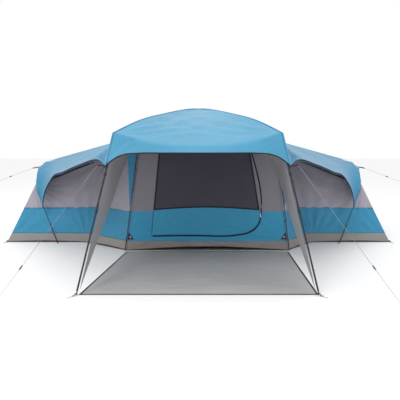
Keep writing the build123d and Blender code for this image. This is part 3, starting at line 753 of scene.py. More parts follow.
# ---------------------------------------------------------------- fly over the dome
@dataclass
class DomeFly:
    """The fly over the crossed poles, one continuous sheet, with its bindings and seams.

    Attributes:
        corner: Right front roof corner.
        crown: Top of the crossing.
        hub: Where the fly reaches the porch leg.
        profile: Rise of the seams, as shares of the way to the crown and of the rise.
        edge: Right half of the awning's front edge, as x and z.
        crease: Right half of the sagging fold where the roof turns down to the awning's edge, as x, y and z.
        lean: How far the awning's face leans back, per unit of height.
    """

    corner: Point
    crown: Point
    hub: Point
    profile: tuple[tuple[float, float], ...] = ((0, 0), (0.26, 0.41), (0.53, 0.68), (0.74, 0.86),
                                                (0.9, 0.965), (1, 1))
    edge: tuple[tuple[float, float], ...] = ((0.0, 1.440), (0.35, 1.440), (0.66, 1.438), (0.80, 1.426),
                                             (0.895, 1.392), (0.955, 1.350))
    crease: tuple[tuple[float, float, float], ...] = ((0.0, -1.985, 1.535), (0.35, -1.985, 1.545),
                                                      (0.68, -1.990, 1.592))
    lean: float = 0.362

    def seam(self, x: int, y: int) -> Rail:
        """The seam from one roof corner to the crown."""
        corner = Vector((self.corner.x * x, self.corner.y * y, self.corner.z))
        return Rail([Vector((*corner.lerp(self.crown, share).xy, corner.z + (self.crown.z - corner.z) * rise))
                     for share, rise in self.profile])

    def edge_rail(self, y: int) -> Rail:
        """The awning's edge from left to right, at the front or the rear."""
        half = [Vector((x, (self.hub.y + (z - self.hub.z) * self.lean) * y, z)) for x, z in self.edge]
        half.append(Vector((self.hub.x, self.hub.y * y, self.hub.z)))
        return Rail([Vector((-p.x, p.y, p.z)) for p in half[:0:-1]] + half)

    def crease_rail(self, y: int) -> Rail:
        """The sagging fold from the left roof corner to the right one."""
        half = [Vector((a, b * y, c)) for a, b, c in self.crease]
        half.append(Vector((self.corner.x, self.corner.y * y, self.corner.z)))
        return Rail([Vector((-p.x, p.y, p.z)) for p in half[:0:-1]] + half)

    def build(self, palette: Palette) -> bpy.types.Object:
        """Make the sheet, its edge bindings and its seams."""
        cloth = Cloth("dome_fly")
        across, up = 72, 56
        creases: list[Rail] = []
        for y in (1, -1):
            corners = [Vector((x * self.corner.x, y * self.corner.y, self.corner.z)) for x in (-1, 1)]
            hubs = [Vector((x * self.hub.x, y * self.hub.y, self.hub.z)) for x in (-1, 1)]
            edge, crease = self.edge_rail(y), self.crease_rail(y)
            pulls = [Pull(c, 0.007, 0.5, 22, 0.7 + k) for k, c in enumerate(corners)]
            pulls += [Pull(c, 0.006, 0.35, 18, 0.2 + k) for k, c in enumerate(hubs)]
            cloth.patch(edge, crease, Rail([hubs[0], corners[0]]), Rail([hubs[1], corners[1]]), across, 14,
                        Vector((0, y * self.corner.y, 0.3)), 12, pulls=pulls, ripple=0.006)
            left, right = self.seam(-1, y), self.seam(1, y)
            top = Rail([self.crown, self.crown], straight=True)
            creases.append(crease)
            cloth.patch(crease, top, left, right, across, up, Vector((0, y * self.corner.y, 2)), 60,
                        pulls=[Pull(c, 0.015, 1.0, 22, 1.3 + k) for k, c in enumerate(corners)], ripple=0.012)
        for x in (1, -1):
            front, rear = self.seam(x, 1), self.seam(x, -1)
            eave = Rail([front.at(0), rear.at(0)], straight=True)
            top = Rail([self.crown, self.crown], straight=True)
            cloth.patch(eave, top, front, rear, across, up, Vector((x, 0, 1)), 60,
                        pulls=[Pull(front.at(0), 0.008, 0.7, 24, 0.4), Pull(rear.at(0), 0.008, 0.7, 24, 1.9)],
                        ripple=0.008)
        for crease in creases:
            cloth.soften([crease.at(0.22 + 0.56 * t / 30) for t in range(31)], 0.20, 24)
        piece = cloth.finish([palette.fly, palette.lining], lining=1)
        keep(piece, stands_for=["fly_roof_front", "fly_roof_rear", "fly_roof_left",
                                              "fly_roof_right"])
        cloth_sheet(piece, (2.60, 5.10), 9.15)
        for label, y in {"front": 1, "rear": -1}.items():
            edge = sampled(self.edge_rail(y), 90)
            keep(tube_along(f"awning_binding_{label}", edge, 0.0075, palette.binding, 8, 0.5,
                            Vector((0, -y, 0.3))))
            for name, x in SIDES.items():
                hub = Vector((x * self.hub.x, y * self.hub.y, self.hub.z))
                run = [hub.lerp(self.seam(x, y).at(0), t / 6) for t in range(6)]
                run += sampled(self.seam(x, y), 40)
                keep(tube_along(f"roof_seam_{label}_{name}", run, 0.009, palette.seam, 8, 0.35,
                                Vector((x * 0.5, -y * 0.5, 1))))
        return piece


# ---------------------------------------------------------------- fly over the wings
@dataclass
class WingFly:
    """The fly over one bedroom wing: a front and a rear slope and the hood over the pole's end.

    Attributes:
        side: +1 for the right wing, -1 for the left.
        corner: Right front roof corner.
        hub: Where the fly reaches the porch leg.
        centre: Depth of the wing pole's middle.
        foot: Distance of the wing pole's feet from the middle of the tent.
        lean: How far the pole leans out, per unit of height.
        ridge: Points from the eave to the top of the wing pole.
        rim: Places along the pole, as distances from its middle and heights.
        front: Free edge at the front, from the leg to the tongue.
        rear: Free edge at the rear.
        bend: Which of the free edge's points lies under the pole, where the slope turns into the end.
        spread: Shares of the slope's width at which its upper edge has its points.
        hood: Free edge of the hood, from the tongue to the beak, as x, distance from the middle and z.
        beak: Tip of the hood, x and z.
    """

    side: int
    corner: Point
    hub: Point
    centre: float
    foot: float
    lean: float = WING_LEAN
    ridge: tuple[tuple[float, float, float], ...] = ((0.950, 0.0, 1.680), (1.540, 0.428, 1.543),
                                                     (2.130, 0.857, 1.407), (2.720, WING_CENTRE, 1.270))
    rim: tuple[tuple[float, float], ...] = ((0.330, 1.262), (0.640, 1.180), (0.885, 1.104), (1.098, 0.948),
                                            (1.230, 0.752), (1.270, 0.577))
    front: tuple[tuple[float, float, float], ...] = (
        (1.180, -1.765, 1.362), (1.500, -1.285, 1.292), (1.900, -0.685, 1.165), (2.250, -0.160, 1.025),
        (2.344, -0.082, 0.905), (2.402, -0.038, 0.790), (2.438, -0.006, 0.670))
    rear: tuple[tuple[float, float, float], ...] = (
        (1.210, 2.215, 1.290), (1.500, 2.285, 1.242), (1.900, 2.365, 1.135), (2.250, 2.500, 1.010),
        (2.344, 2.565, 0.900), (2.402, 2.590, 0.785), (2.438, 2.590, 0.670))
    bend: int = 3
    spread: tuple[float, ...] = (0.0, 0.23, 0.47, 0.647, 0.823, 1.0)
    hood: tuple[tuple[float, float, float], ...] = ((2.510, 1.180, 0.690), (2.580, 1.110, 0.800),
                                                    (2.670, 0.900, 0.920), (2.790, 0.450, 1.060))
    beak: tuple[float, float] = (2.945, 1.150)

    def at(self, points: Iterable[Sequence[float]]) -> list[Point]:
        """Right-hand points moved to this wing."""
        return flip(points, self.side)

    def rim_points(self, turn: int) -> list[Point]:
        """Points along the pole from its top to the tongue, at the front (-1) or the rear (+1)."""
        return self.at([(self.foot + self.lean * z, self.centre + turn * along, z) for along, z in self.rim])

    def hood_points(self, turn: int) -> list[Point]:
        """Free edge of the hood from the tongue to the beak, at the front (-1) or the rear (+1)."""
        rows = [(x, self.centre + turn * along, z) for x, along, z in self.hood]
        return self.at(rows + [(self.beak[0], self.centre, self.beak[1])])

    def slope(self, cloth: Cloth, turn: int) -> tuple[Rail, Rail]:
        """Add the front (-1) or rear (+1) slope and its half of the hood.

        Args:
            cloth: The sheet that gets the patches.
            turn: Which slope.

        Returns:
            The slope's free edge, from the leg to the tongue, and the hood's, from the beak to the tongue.
        """
        corner = Vector((self.corner.x * self.side, -turn * self.corner.y, self.corner.z))
        hub = Vector((self.hub.x * self.side, -turn * self.hub.y, self.hub.z))
        eave, *_ = self.at([(0.948, -1.015, 1.672) if turn < 0 else (0.949, 1.285, 1.672)])
        ridge = self.at(self.ridge)
        rim_places = self.rim_points(turn)
        tip, beak = rim_places[-1], self.at([(self.beak[0], self.centre, self.beak[1])])[0]
        scallop = self.at(self.front if turn < 0 else self.rear)
        edge = Rail([hub] + scallop + [tip])
        bend = edge.marks[self.bend + 1]
        upper = Rail([corner, eave] + ridge, True, self.spread)
        lower = Rail([edge.at(bend * k / 40) for k in range(41)], True)
        fold = Rail([lower.at(1), upper.at(1)])
        up, out = Vector((self.side * 0.3, turn * 0.4, 1)), Vector((self.side, turn * 0.4, 0.4))
        pulls = [Pull(corner, 0.016, 0.9, 40, 0.4), Pull(hub, 0.012, 0.6, 36, 1.1),
                 Pull(ridge[-1], 0.008, 0.6, 30, 2.0)]
        rows = 44
        cloth.patch(lower, upper, Rail([hub, corner]), fold, 110, rows, up, 60, pulls=pulls, ripple=0.008)
        rim = Rail([ridge[-1]] + rim_places)
        rim = Rail([rim.at(k / 24) for k in range(25)], True)
        skirt = Rail([edge.at(bend + (1 - bend) * k / 24) for k in range(25)], True)
        point = Rail([tip, tip], True)
        cloth.patch(skirt, rim, fold, point, 48, rows, out, 30, pulls=[Pull(tip, 0.005, 0.35, 24, 0.3)],
                    ripple=0.004)
        hood = Rail([beak] + self.hood_points(turn)[-2::-1] + [tip])
        cloth.patch(hood, rim, Rail([beak, ridge[-1]]), point, 48, 12, out, 20,
                    pulls=[Pull(beak, 0.005, 0.3, 20, 0.5)], ripple=0.003)
        cloth.soften(sampled(fold, 12), 0.16, 14)
        return edge, hood

    def build(self, palette: Palette, name: str) -> bpy.types.Object:
        """Make the wing's sheet, its bindings, a navy band of painted shadow under each free edge, and the
        ridge seam.
        """
        cloth = Cloth(f"wing_fly_{name}")
        front, free_front = self.slope(cloth, -1)
        rear, free_rear = self.slope(cloth, 1)
        # The wing fly's outer blue is the darker copy of the fly blue: painted shade.
        piece = cloth.finish([palette.fly_blue_painted_shade, palette.lining], lining=1)
        keep(piece, stands_for=[f"fly_wing_{name}", f"fly_end_{name}"])
        cloth_sheet(piece, (3.4, 4.9), 7.05)
        up = Vector((self.side * 0.4, 0, 1))
        for label, edge, turn in (("front", front, -1), ("rear", rear, 1)):
            run = sampled(edge, 110)
            # Painted shadow: a navy ribbon just behind and below the free edge stands for the shade between
            # the fly's edge and the wall.
            band = [p + Vector((0, turn * -0.004, -0.014)) for p in run]
            keep(ribbon(f"wing_hem_{label}_{name}", band, 0.034, palette.navy, Vector((0, turn, 0.2)), 0.003))
            keep(tube_along(f"wing_edge_{label}_{name}", run, 0.005, palette.navy, 8, 0.7, up))
        free = sampled(free_front, 50)[::-1] + sampled(free_rear, 50)[1:]
        keep(tube_along(f"hood_edge_{name}", free, 0.005, palette.navy, 8, 0.7, up))
        ridge = Rail(self.at(self.ridge))
        keep(tube_along(f"ridge_seam_{name}", sampled(ridge, 50), 0.008, palette.seam, 8, 0.35, up))
        return piece


# ---------------------------------------------------------------- lined wings beside the porch
@dataclass
class Gusset:
    """The lined cloth that closes the side of the porch, between the leg and a free edge.

    Attributes:
        side: +1 for the right, -1 for the left.
        low: Its lowest place on the leg.
        high: Its highest place on the leg.
        edge: Its free edge from low upwards.
    """

    side: int
    low: tuple[float, float, float]
    high: tuple[float, float, float]
    edge: tuple[tuple[float, float, float], ...]

    def build(self, palette: Palette, name: str) -> bpy.types.Object:
        """Make the gusset and the tape on its free edge."""
        low, high = flip([self.low, self.high], self.side)
        edge = Rail([low] + flip(self.edge, self.side))
        leg = Rail([low, high])
        top = Rail([high, high.lerp(edge.at(1), 0.5) + Vector((0, 0, 0.006)), edge.at(1)])
        cloth = Cloth(f"porch_gusset_{name}")
        point = Rail([low, low], straight=True)
        cloth.patch(point, top, leg, edge, 34, 70, Vector((self.side, 0, 0)), 20,
                    pulls=[Pull(low, 0.004, 0.6, 20, 0.3), Pull(high, 0.008, 0.5, 22, 1.3)], ripple=0.006)
        # The gusset's outer blue is the darker copy of the fly blue: painted shade.
        piece = cloth.finish([palette.fly_blue_painted_shade, palette.lining], lining=1)
        keep(piece, stands_for=[f"awning_gusset_{name}"])
        cloth_sheet(piece, (1.50, 1.75), 1.01)
        keep(tube_along(f"gusset_edge_{name}", sampled(edge, 60), 0.004, palette.lining, 8, 0.6,
                        Vector((self.side, 0, 0.2))))
        return piece


# ---------------------------------------------------------------- walls
@dataclass
class Wall:
    """One straight-sided wall of the inner tents, grey over blue.

    Attributes:
        name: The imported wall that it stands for.
        low: Its bottom edge's ends at the ground.
        high: Its top edge's ends.
        outward: Where it looks.
        cut: Its flat width and height, and the area of its cloth.
        pulls: Where creases start.
        band: Height of the blue band at each end.
        crest: Points between the ends of a curved top edge.
        tub: Height where the wall is sewn to the tub.
        columns: Faces across.
    """

    name: str
    low: tuple[Point, Point]
    high: tuple[Point, Point]
    outward: Point
    cut: tuple[float, float, float]
    pulls: Sequence[Pull] = ()
    band: tuple[float, float] = (BAND, BAND)
    crest: Sequence[Point] = ()
    tub: float = 0.140
    columns: int = 90

    def place(self, end: int, z: float) -> Point:
        """A point of one end's edge at a height."""
        a, b = self.low[end], self.high[end]
        return a + (b - a) * ((z - a.z) / (b.z - a.z))

    def zone(self, point: Point) -> int:
        """The finish at a point: 1 for the blue band, 0 for the grey above it."""
        edge = self.low[1] - self.low[0]
        share = min(1.0, max(0.0, (point - self.low[0]).dot(edge) / edge.length_squared))
        return 1 if point.z < self.band[0] + (self.band[1] - self.band[0]) * share else 0

    def build(self, palette: Palette) -> bpy.types.Object:
        """Make the wall and its band seam."""
        cloth = Cloth(f"{self.name}_cloth")
        rows = 40
        band_row = 16
        marks = [0, band_row / rows, 1]
        west, east = (Rail([self.place(k, self.tub), self.place(k, self.band[k]), self.high[k]], True, marks)
                      for k in (0, 1))
        bottom = Rail([west.at(0), east.at(0)])
        top = Rail([west.at(1), *self.crest, east.at(1)])
        cloth.patch(bottom, top, west, east, self.columns, rows, self.outward, 0,
                    zone=self.zone, pulls=self.pulls, ripple=0.013, ripple_scale=2.2)
        piece = cloth.finish([palette.wall_grey, palette.wall_blue])
        keep(piece, stands_for=[f"{self.name}_wall"])
        cloth_sheet(piece, self.cut[:2], self.cut[2])
        seam = [self.place(0, self.band[0]).lerp(self.place(1, self.band[1]), t / 40) for t in range(41)]
        keep(ribbon(f"{self.name}_band_seam", seam, 0.012, palette.wall_seam, self.outward, 0.0014, 0.003))
        return piece


class TubUpstand:
    """The grey upstand of the floor all round, one strip that stands on the ground."""

    def __init__(self, outline: Sequence[tuple[Point, Point]], height: float = 0.140,
                 rise: float = 0.056) -> None:
        """Keep the wall edges.

        Args:
            outline: For each corner in turn, a low and a high point of the wall's edge.
            height: Height of the upstand.
            rise: How far its lower edge lifts off the ground in the middle of the porch side.
        """
        self.outline = list(outline)
        self.height = height
        self.rise = rise

    def build(self, palette: Palette) -> bpy.types.Object:
        """Make the strip, sagging a little between the corners, and its bottom seam."""
        cloth = Cloth("tub_upstand_cloth")
        lines = []
        corners = self.outline + self.outline[:1]
        for (a0, a1), (b0, b1) in zip(corners[:-1], corners[1:]):
            span = (b0 - a0).length
            low_a, low_b = a0 + Vector((0, 0, 0.004)), b0 + Vector((0, 0, 0.004))
            top_a, top_b = (e0 + (e1 - e0) * (self.height / e1.z) for e0, e1 in ((a0, a1), (b0, b1)))
            out = (low_b - low_a).cross(Vector((0, 0, 1)))
            rise = Vector((0, 0, self.rise if a0.y < 0 and b0.y < 0 else 0.018))
            columns = max(12, int(span * 40))
            bottom = Rail([low_a, low_a.lerp(low_b, 0.22) + rise * 0.62, low_a.lerp(low_b, 0.5) + rise,
                           low_a.lerp(low_b, 0.78) + rise * 0.62, low_b])
            cloth.patch(bottom, Rail([top_a, top_b]), Rail([low_a, top_a]), Rail([low_b, top_b]),
                        columns, 8, out, 0, pulls=[Pull(low_a, 0.006, 0.25, 16, 0.4),
                                                   Pull(low_b, 0.006, 0.25, 16, 1.4)],
                        ripple=0.014, ripple_scale=3.4)
            lines += sampled(bottom, 24)[:-1]
        piece = cloth.finish([palette.skirt], 0.001)
        keep(piece, stands_for=["tub_upstand"])
        cloth_sheet(piece, (0.20, 18.0), 2.3)
        keep(tube_along("tub_hem", lines + lines[:1], 0.0035, palette.maroon, 6, 1.0))
        return piece


# ---------------------------------------------------------------- living-room front wall
@dataclass
class FrontWall:
    """The wall behind the porch, with a D-shaped door that has a mesh window.

    Attributes:
        middle: Offset of the wall's middle from the ridge.
        depth: Where the wall stands.
        half: Half its width at the ground.
        lean: How far its sides close in, per unit of height.
        band: Height of the blue band's top.
        tub: Height where the wall is sewn to the tub.
        gap: Width of the slit round the door.
        top: Its top outline, from right to left.
        top_height: Height of its upper corners.
        hinge: Hinge edge of the door, bottom and top.
        zip_edge: Zipped edge of the door, bottom and top.
        curl: Lower edge of the door, from the hinge round to the zipped edge.
        corner_at: Which of those points starts the rounded corner.
        sill: Height of the window's sill at the door's edges and in its middle.
        tape: Width of the tapes round the window.
    """

    middle: float
    depth: float
    half: float = 1.185
    lean: float = 0.138
    band: float = 0.580
    tub: float = 0.140
    gap: float = 0.006
    top: tuple[tuple[float, float], ...] = ((0.470, 1.735), (0.0, 1.850), (-0.470, 1.735))
    top_height: float = 1.566
    hinge: tuple[tuple[float, float], tuple[float, float]] = ((-0.810, 0.225), (-0.675, 1.560))
    zip_edge: tuple[tuple[float, float], tuple[float, float]] = ((0.767, 0.500), (0.582, 1.560))
    curl: tuple[tuple[float, float], ...] = ((-0.810, 0.225), (-0.20, 0.232), (0.430, 0.240), (0.590, 0.275),
                                             (0.665, 0.315), (0.720, 0.370), (0.758, 0.445), (0.767, 0.500))
    corner_at: int = 4
    sill: tuple[float, float] = (0.606, 0.645)
    tape: float = 0.020

    def at(self, x: float, z: float, forward: float = 0.0) -> Point:
        """A point of the wall from its offset and height."""
        return Vector((self.middle + x, self.depth - forward, z))

    def side(self, x: int, z: float) -> Point:
        """The wall's edge at a height."""
        return self.at(x * (self.half - self.lean * z), z)

    def along(self, edge: tuple[tuple[float, float], tuple[float, float]], z: float) -> tuple[float, float]:
        """The place of a straight door edge at a height."""
        (x0, z0), (x1, z1) = edge
        return x0 + (x1 - x0) * (z - z0) / (z1 - z0), z

    def grown(self, x: float, z: float) -> Point:
        """A door outline point moved out by the gap round the door."""
        out = Vector((x + 0.04, 0, z - 0.89)).normalized() * self.gap
        return self.at(x + out.x, z + out.z)

    def wall(self, palette: Palette) -> bpy.types.Object:
        """Make the wall round the door."""
        cloth = Cloth("front_wall_cloth")
        outward = Vector((0, -1, 0))
        curl = [self.grown(*p) for p in self.curl]
        low, right_low = curl[:self.corner_at + 1], curl[self.corner_at:]
        right = Rail(right_low + [self.grown(*self.zip_edge[1])], True)
        head = Rail([self.grown(*self.zip_edge[1]), self.grown(*self.hinge[1])])
        left = Rail([self.grown(*self.hinge[1]), self.grown(*self.hinge[0])])
        base = Rail(low)
        top_right, top_left = self.side(1, self.top_height), self.side(-1, self.top_height)
        outer = [(base, Rail([self.side(-1, self.tub), self.side(1, self.tub)])),
                 (right, Rail([self.side(1, self.tub), top_right])),
                 (head, Rail([top_right] + [self.at(*p) for p in self.top] + [top_left], True)),
                 (left, Rail([top_left, self.side(-1, self.tub)]))]
        pulls = [Pull(self.side(-1, self.tub), 0.010, 0.30, 22, 0.2),
                 Pull(self.side(1, self.tub), 0.010, 0.30, 22, 1.2),
                 Pull(self.side(-1, 0.9), 0.006, 0.25, 18, 0.5),
                 Pull(self.side(1, 1.2), 0.005, 0.25, 18, 0.9)]
        for inner, rim in outer:
            cloth.patch(inner, rim, Rail([inner.at(0), rim.at(0)]), Rail([inner.at(1), rim.at(1)]), 60, 14,
                        outward, 0, pulls=pulls, ripple=0.006, ripple_scale=2.4)
        cloth.divide(self.band, lambda p: 1 if p.z < self.band else 0)
        # Painted light and shade: the band's blue is a lighter copy of the wall blue, and the grey above it is
        # a darker copy of the wall grey.
        piece = cloth.finish([palette.front_grey_painted_shade, palette.front_blue_painted_light])
        keep(piece, stands_for=["front_wall_lower", "front_wall_upper"])
        cloth_sheet(piece, (2.37, 1.72), 1.45)
        return piece

    def door(self, palette: Palette) -> None:
        """Make the door's lower panel, its mesh window and the tapes round them."""
        low = Cloth("door_panel_cloth")
        outward = Vector((0, -1, 0))
        hinge_sill, zip_sill = self.along(self.hinge, self.sill[0]), self.along(self.zip_edge, self.sill[0])
        middle = ((hinge_sill[0] + zip_sill[0]) / 2, self.sill[1])
        sill = Rail([self.at(*hinge_sill), self.at(*middle), self.at(*zip_sill)])
        curl = [self.at(*p) for p in self.curl]
        base, turn = Rail(curl[:self.corner_at + 1]), Rail(curl[self.corner_at:] + [self.at(*zip_sill)])
        low.patch(base, sill, Rail([base.at(0), sill.at(0)]), turn, 80, 26, outward, 6,
                  pulls=[Pull(base.at(0), 0.007, 0.4, 22, 0.3), Pull(base.at(1), 0.006, 0.3, 20, 1.0)],
                  ripple=0.007, ripple_scale=2.0)
        # The door panel's blue is the lighter copy of the wall blue: painted light.
        panel = low.finish([palette.front_blue_painted_light])
        keep(panel, "door", ["door_panel"])
        cloth_sheet(panel, (1.58, 0.43), 0.62)
        high = Cloth("door_window_cloth")
        head = Rail([self.at(*self.hinge[1]), self.at(*self.zip_edge[1])])
        high.patch(sill, head, Rail([sill.at(0), head.at(0)]), Rail([sill.at(1), head.at(1)]), 60, 40,
                   outward, 4,
                   pulls=[Pull(head.at(0), 0.004, 0.4, 20, 0.6), Pull(head.at(1), 0.004, 0.4, 20, 1.6)],
                   ripple=0.006)
        window = high.finish([palette.mesh], 0.0008)
        keep(window, "door", ["door_window_mesh"])
        cloth_sheet(window, (1.50, 0.96), 1.31)
        forward = Vector((0, -0.0015, 0))
        tapes = {"hinge": Rail([sill.at(0), head.at(0)]), "sill": sill, "head": head,
                 "zip_side": Rail([sill.at(1), head.at(1)])}
        for name, rail in tapes.items():
            line = [p + forward for p in sampled(rail, 40)]
            keep(ribbon(f"door_tape_{name}", line, self.tape, palette.binding, outward),
                 "door")

    def zip(self, palette: Palette) -> None:
        """Make the zip's tape and its coil."""
        off = 0.010
        head = self.along(self.zip_edge, 1.540)
        route = [self.at(head[0] + off, head[1]), self.at(self.zip_edge[0][0] + off, self.zip_edge[0][1])]
        route += [self.at(0.768, 0.440), self.at(0.730, 0.362), self.at(0.676, 0.304), self.at(0.600, 0.263),
                  self.at(0.432, 0.229), self.at(-0.190, 0.221), self.at(-0.800, 0.214)]
        line = Rail(route)
        smooth = [p + Vector((0, -0.0034, 0)) for p in sampled(line, 220)]
        keep(ribbon("zip_tape", smooth, 0.018, palette.zip, Vector((0, -1, 0)), 0.0012))
        pitch, around, reach = 0.0036, 6, 0.0024
        turns = int(line.length / pitch)
        coil = []
        for i in range(turns * around + 1):
            t = i / (turns * around)
            place = line.at(t)
            way = (line.at(min(1, t + 0.002)) - line.at(max(0, t - 0.002))).normalized()
            across = way.cross(Vector((0, -1, 0)))
            turn = math.tau * i / around
            coil.append(place + Vector((0, -0.0048, 0)) + across * (math.cos(turn) * reach * 1.3)
                        + Vector((0, -1, 0)) * (math.sin(turn) * reach * 0.5))
        keep(tube_along("zip_coil", coil, 0.0006, palette.zip, 4, 1.0), stands_for=["door_zip"])

    def patches(self, palette: Palette) -> None:
        """Make the webbing triangle with an eyelet in each lower corner of the wall."""
        for name, x in SIDES.items():
            low, far = self.side(x, 0.165), self.side(x, 0.275)
            inner = low + Vector((-x * 0.085, 0, 0.0))
            cloth = Cloth(f"corner_patch_{name}")
            cloth.patch(Rail([low, inner]), Rail([far, far.lerp(inner, 0.12)]), Rail([low, far]),
                        Rail([inner, far.lerp(inner, 0.12)]), 8, 8, Vector((0, -1, 0)), 0)
            for v in cloth.bm.verts:
                v.co.y -= 0.004
            piece = cloth.finish([palette.maroon], 0.0016)
            keep(piece)
            cloth_sheet(piece, (0.085, 0.11), 0.0053)
            eyelet = ring(f"corner_eyelet_{name}", low.lerp(inner, 0.42) + Vector((0, -0.0065, 0.036)),
                          Vector((0, -1, 0)), 0.0075, 0.0035, palette.eyelet)
            keep(eyelet)


# ---------------------------------------------------------------- roofs of the inner tents
class InnerRoofs:
    """The mesh roof of the living room and the roofs of the bedrooms, under the fly."""

    peak = Vector((0.0, 0.715, 1.885))
    ring_points = ((-0.770, -0.470, 1.480), (1.030, -0.470, 1.480), (1.300, 0.335, 1.410),
                   (0.860, 1.945, 1.460), (-0.860, 1.945, 1.460), (-1.300, 0.335, 1.410))
    near_front, near_rear = (1.330, 0.360, 1.395), (1.330, 1.985, 1.190)
    peak_out, far_front, far_rear = (2.690, WING_CENTRE, 1.135), (2.610, 0.265, 0.850), (2.610, 2.285, 0.850)

    def build(self, palette: Palette) -> None:
        """Make the three roofs."""
        roof = Cloth("living_room_roof_mesh")
        loop = [Vector(p) for p in self.ring_points]
        for a, b in zip(loop, loop[1:] + loop[:1]):
            apex = Rail([self.peak, self.peak], True)
            sag = a.lerp(b, 0.5) - Vector((0, 0, 0.015))
            roof.patch(Rail([a, sag, b]), apex, Rail([a, self.peak]), Rail([b, self.peak]), 24, 24,
                       Vector((0, 0, 1)), 10, ripple=0.006)
        piece = roof.finish([palette.mesh], 0.0008)
        keep(piece, stands_for=["living_room_mesh_roof"])
        cloth_sheet(piece, (2.7, 2.6), 5.6)
        for name, side in SIDES.items():
            bedroom = Cloth(f"bedroom_roof_{name}")
            near = Rail(flip([self.near_front, self.near_rear], side))
            far = Rail(flip([self.far_front, self.peak_out, self.far_rear], side))
            bedroom.patch(far, near, Rail([far.at(0), near.at(0)]), Rail([far.at(1), near.at(1)]), 50, 40,
                          Vector((0, 0, 1)), 12, ripple=0.010)
            piece = bedroom.finish([palette.lining], 0.001)
            keep(piece, stands_for=[f"wing_inner_roof_{name}"])
            cloth_sheet(piece, (1.75, 2.2), 2.55)


# ---------------------------------------------------------------- floor and porch
class Floor:
    """The tub's floor and the loose sheet under the porch with its binding."""

    front = ((-3.060, 0.088), (-1.800, 0.068), (-1.052, -0.527), (1.312, -0.527), (1.800, 0.068),
             (3.060, 0.088))
    rear = ((-3.060, 2.482), (-1.800, 2.492), (-1.052, 2.492), (1.312, 2.492), (1.800, 2.492), (3.060, 2.482))
    porch = ((-1.218, -2.586), (1.240, -2.586), (1.305, -0.625), (-1.045, -0.625))
    binding = 0.022

    def crease(self, point: Point) -> float:
        """Height of the porch sheet's soft cross folds."""
        folds = noise.noise(Vector((point.x * 0.7, point.y * 5.5, 1.3)))
        second = noise.noise(Vector((point.x * 0.5 + 4.0, point.y * 2.6, 7.7)))
        ridge = max(0.0, 1.0 - abs(folds) * 5.0) ** 2
        return 0.0035 * ridge + 0.006 * max(0.0, second)

    def build(self, palette: Palette) -> None:
        """Make the floor, the porch sheet and its binding."""
        floor = Cloth("tub_floor_sheet")
        south = Rail([Vector((x, y, 0.0022)) for x, y in self.front], True)
        north = Rail([Vector((x, y, 0.0022)) for x, y in self.rear], True, south.marks)
        floor.patch(south, north, Rail([south.at(0), north.at(0)]), Rail([south.at(1), north.at(1)]), 60, 24,
                    Vector((0, 0, 1)), 0)
        piece = floor.finish([palette.skirt], 0.001)
        keep(piece, stands_for=["tub_floor"])
        cloth_sheet(piece, (6.12, 3.02), 16.5)
        sheet = Cloth("porch_sheet")
        a, b, c, d = (Vector((x, y, 0.0028)) for x, y in self.porch)
        far = Rail([d, (c + d) / 2 + Vector((0.05, 0.045, 0)), c])
        sheet.patch(Rail([a, b]), far, Rail([a, d]), Rail([b, c]), 110, 110, Vector((0, 0, 1)), 0)
        low, high = self.porch[0][1], self.porch[2][1]
        for v in sheet.bm.verts:
            t = (v.co.y - low) / (high - low)
            left, right = a.x + (d.x - a.x) * t, b.x + (c.x - b.x) * t
            s = (v.co.x - left) / (right - left)
            edge = min(1.0, 12 * min(t, 1 - t), 12 * min(s, 1 - s))
            v.co.z += self.crease(v.co) * max(0.0, edge)
        piece = sheet.finish([palette.ground], 0.001)
        keep(piece, stands_for=["porch_groundsheet"])
        cloth_sheet(piece, (2.42, 1.96), 4.65)
        centre = (a + b + c + d) / 4
        run = [p + Vector((0, -self.binding / 2, 0.0005)) for p in sampled(far, 30)]
        keep(ribbon("porch_tape_far", run, self.binding, palette.binding, Vector((0, 0, 1)), 0.0016),
             stands_for=["porch_binding"])
        for i, (start, end) in enumerate(((a, b), (b, c), (d, a))):
            inward = (centre - (start + end) / 2)
            inward.z = 0
            along = (end - start).normalized()
            inward = (inward - along * inward.dot(along)).normalized() * (self.binding / 2)
            run = [start.lerp(end, t / 30) + inward + Vector((0, 0, 0.0005)) for t in range(31)]
            keep(ribbon(f"porch_tape_{i + 1}", run, self.binding, palette.binding, Vector((0, 0, 1)), 0.0016))


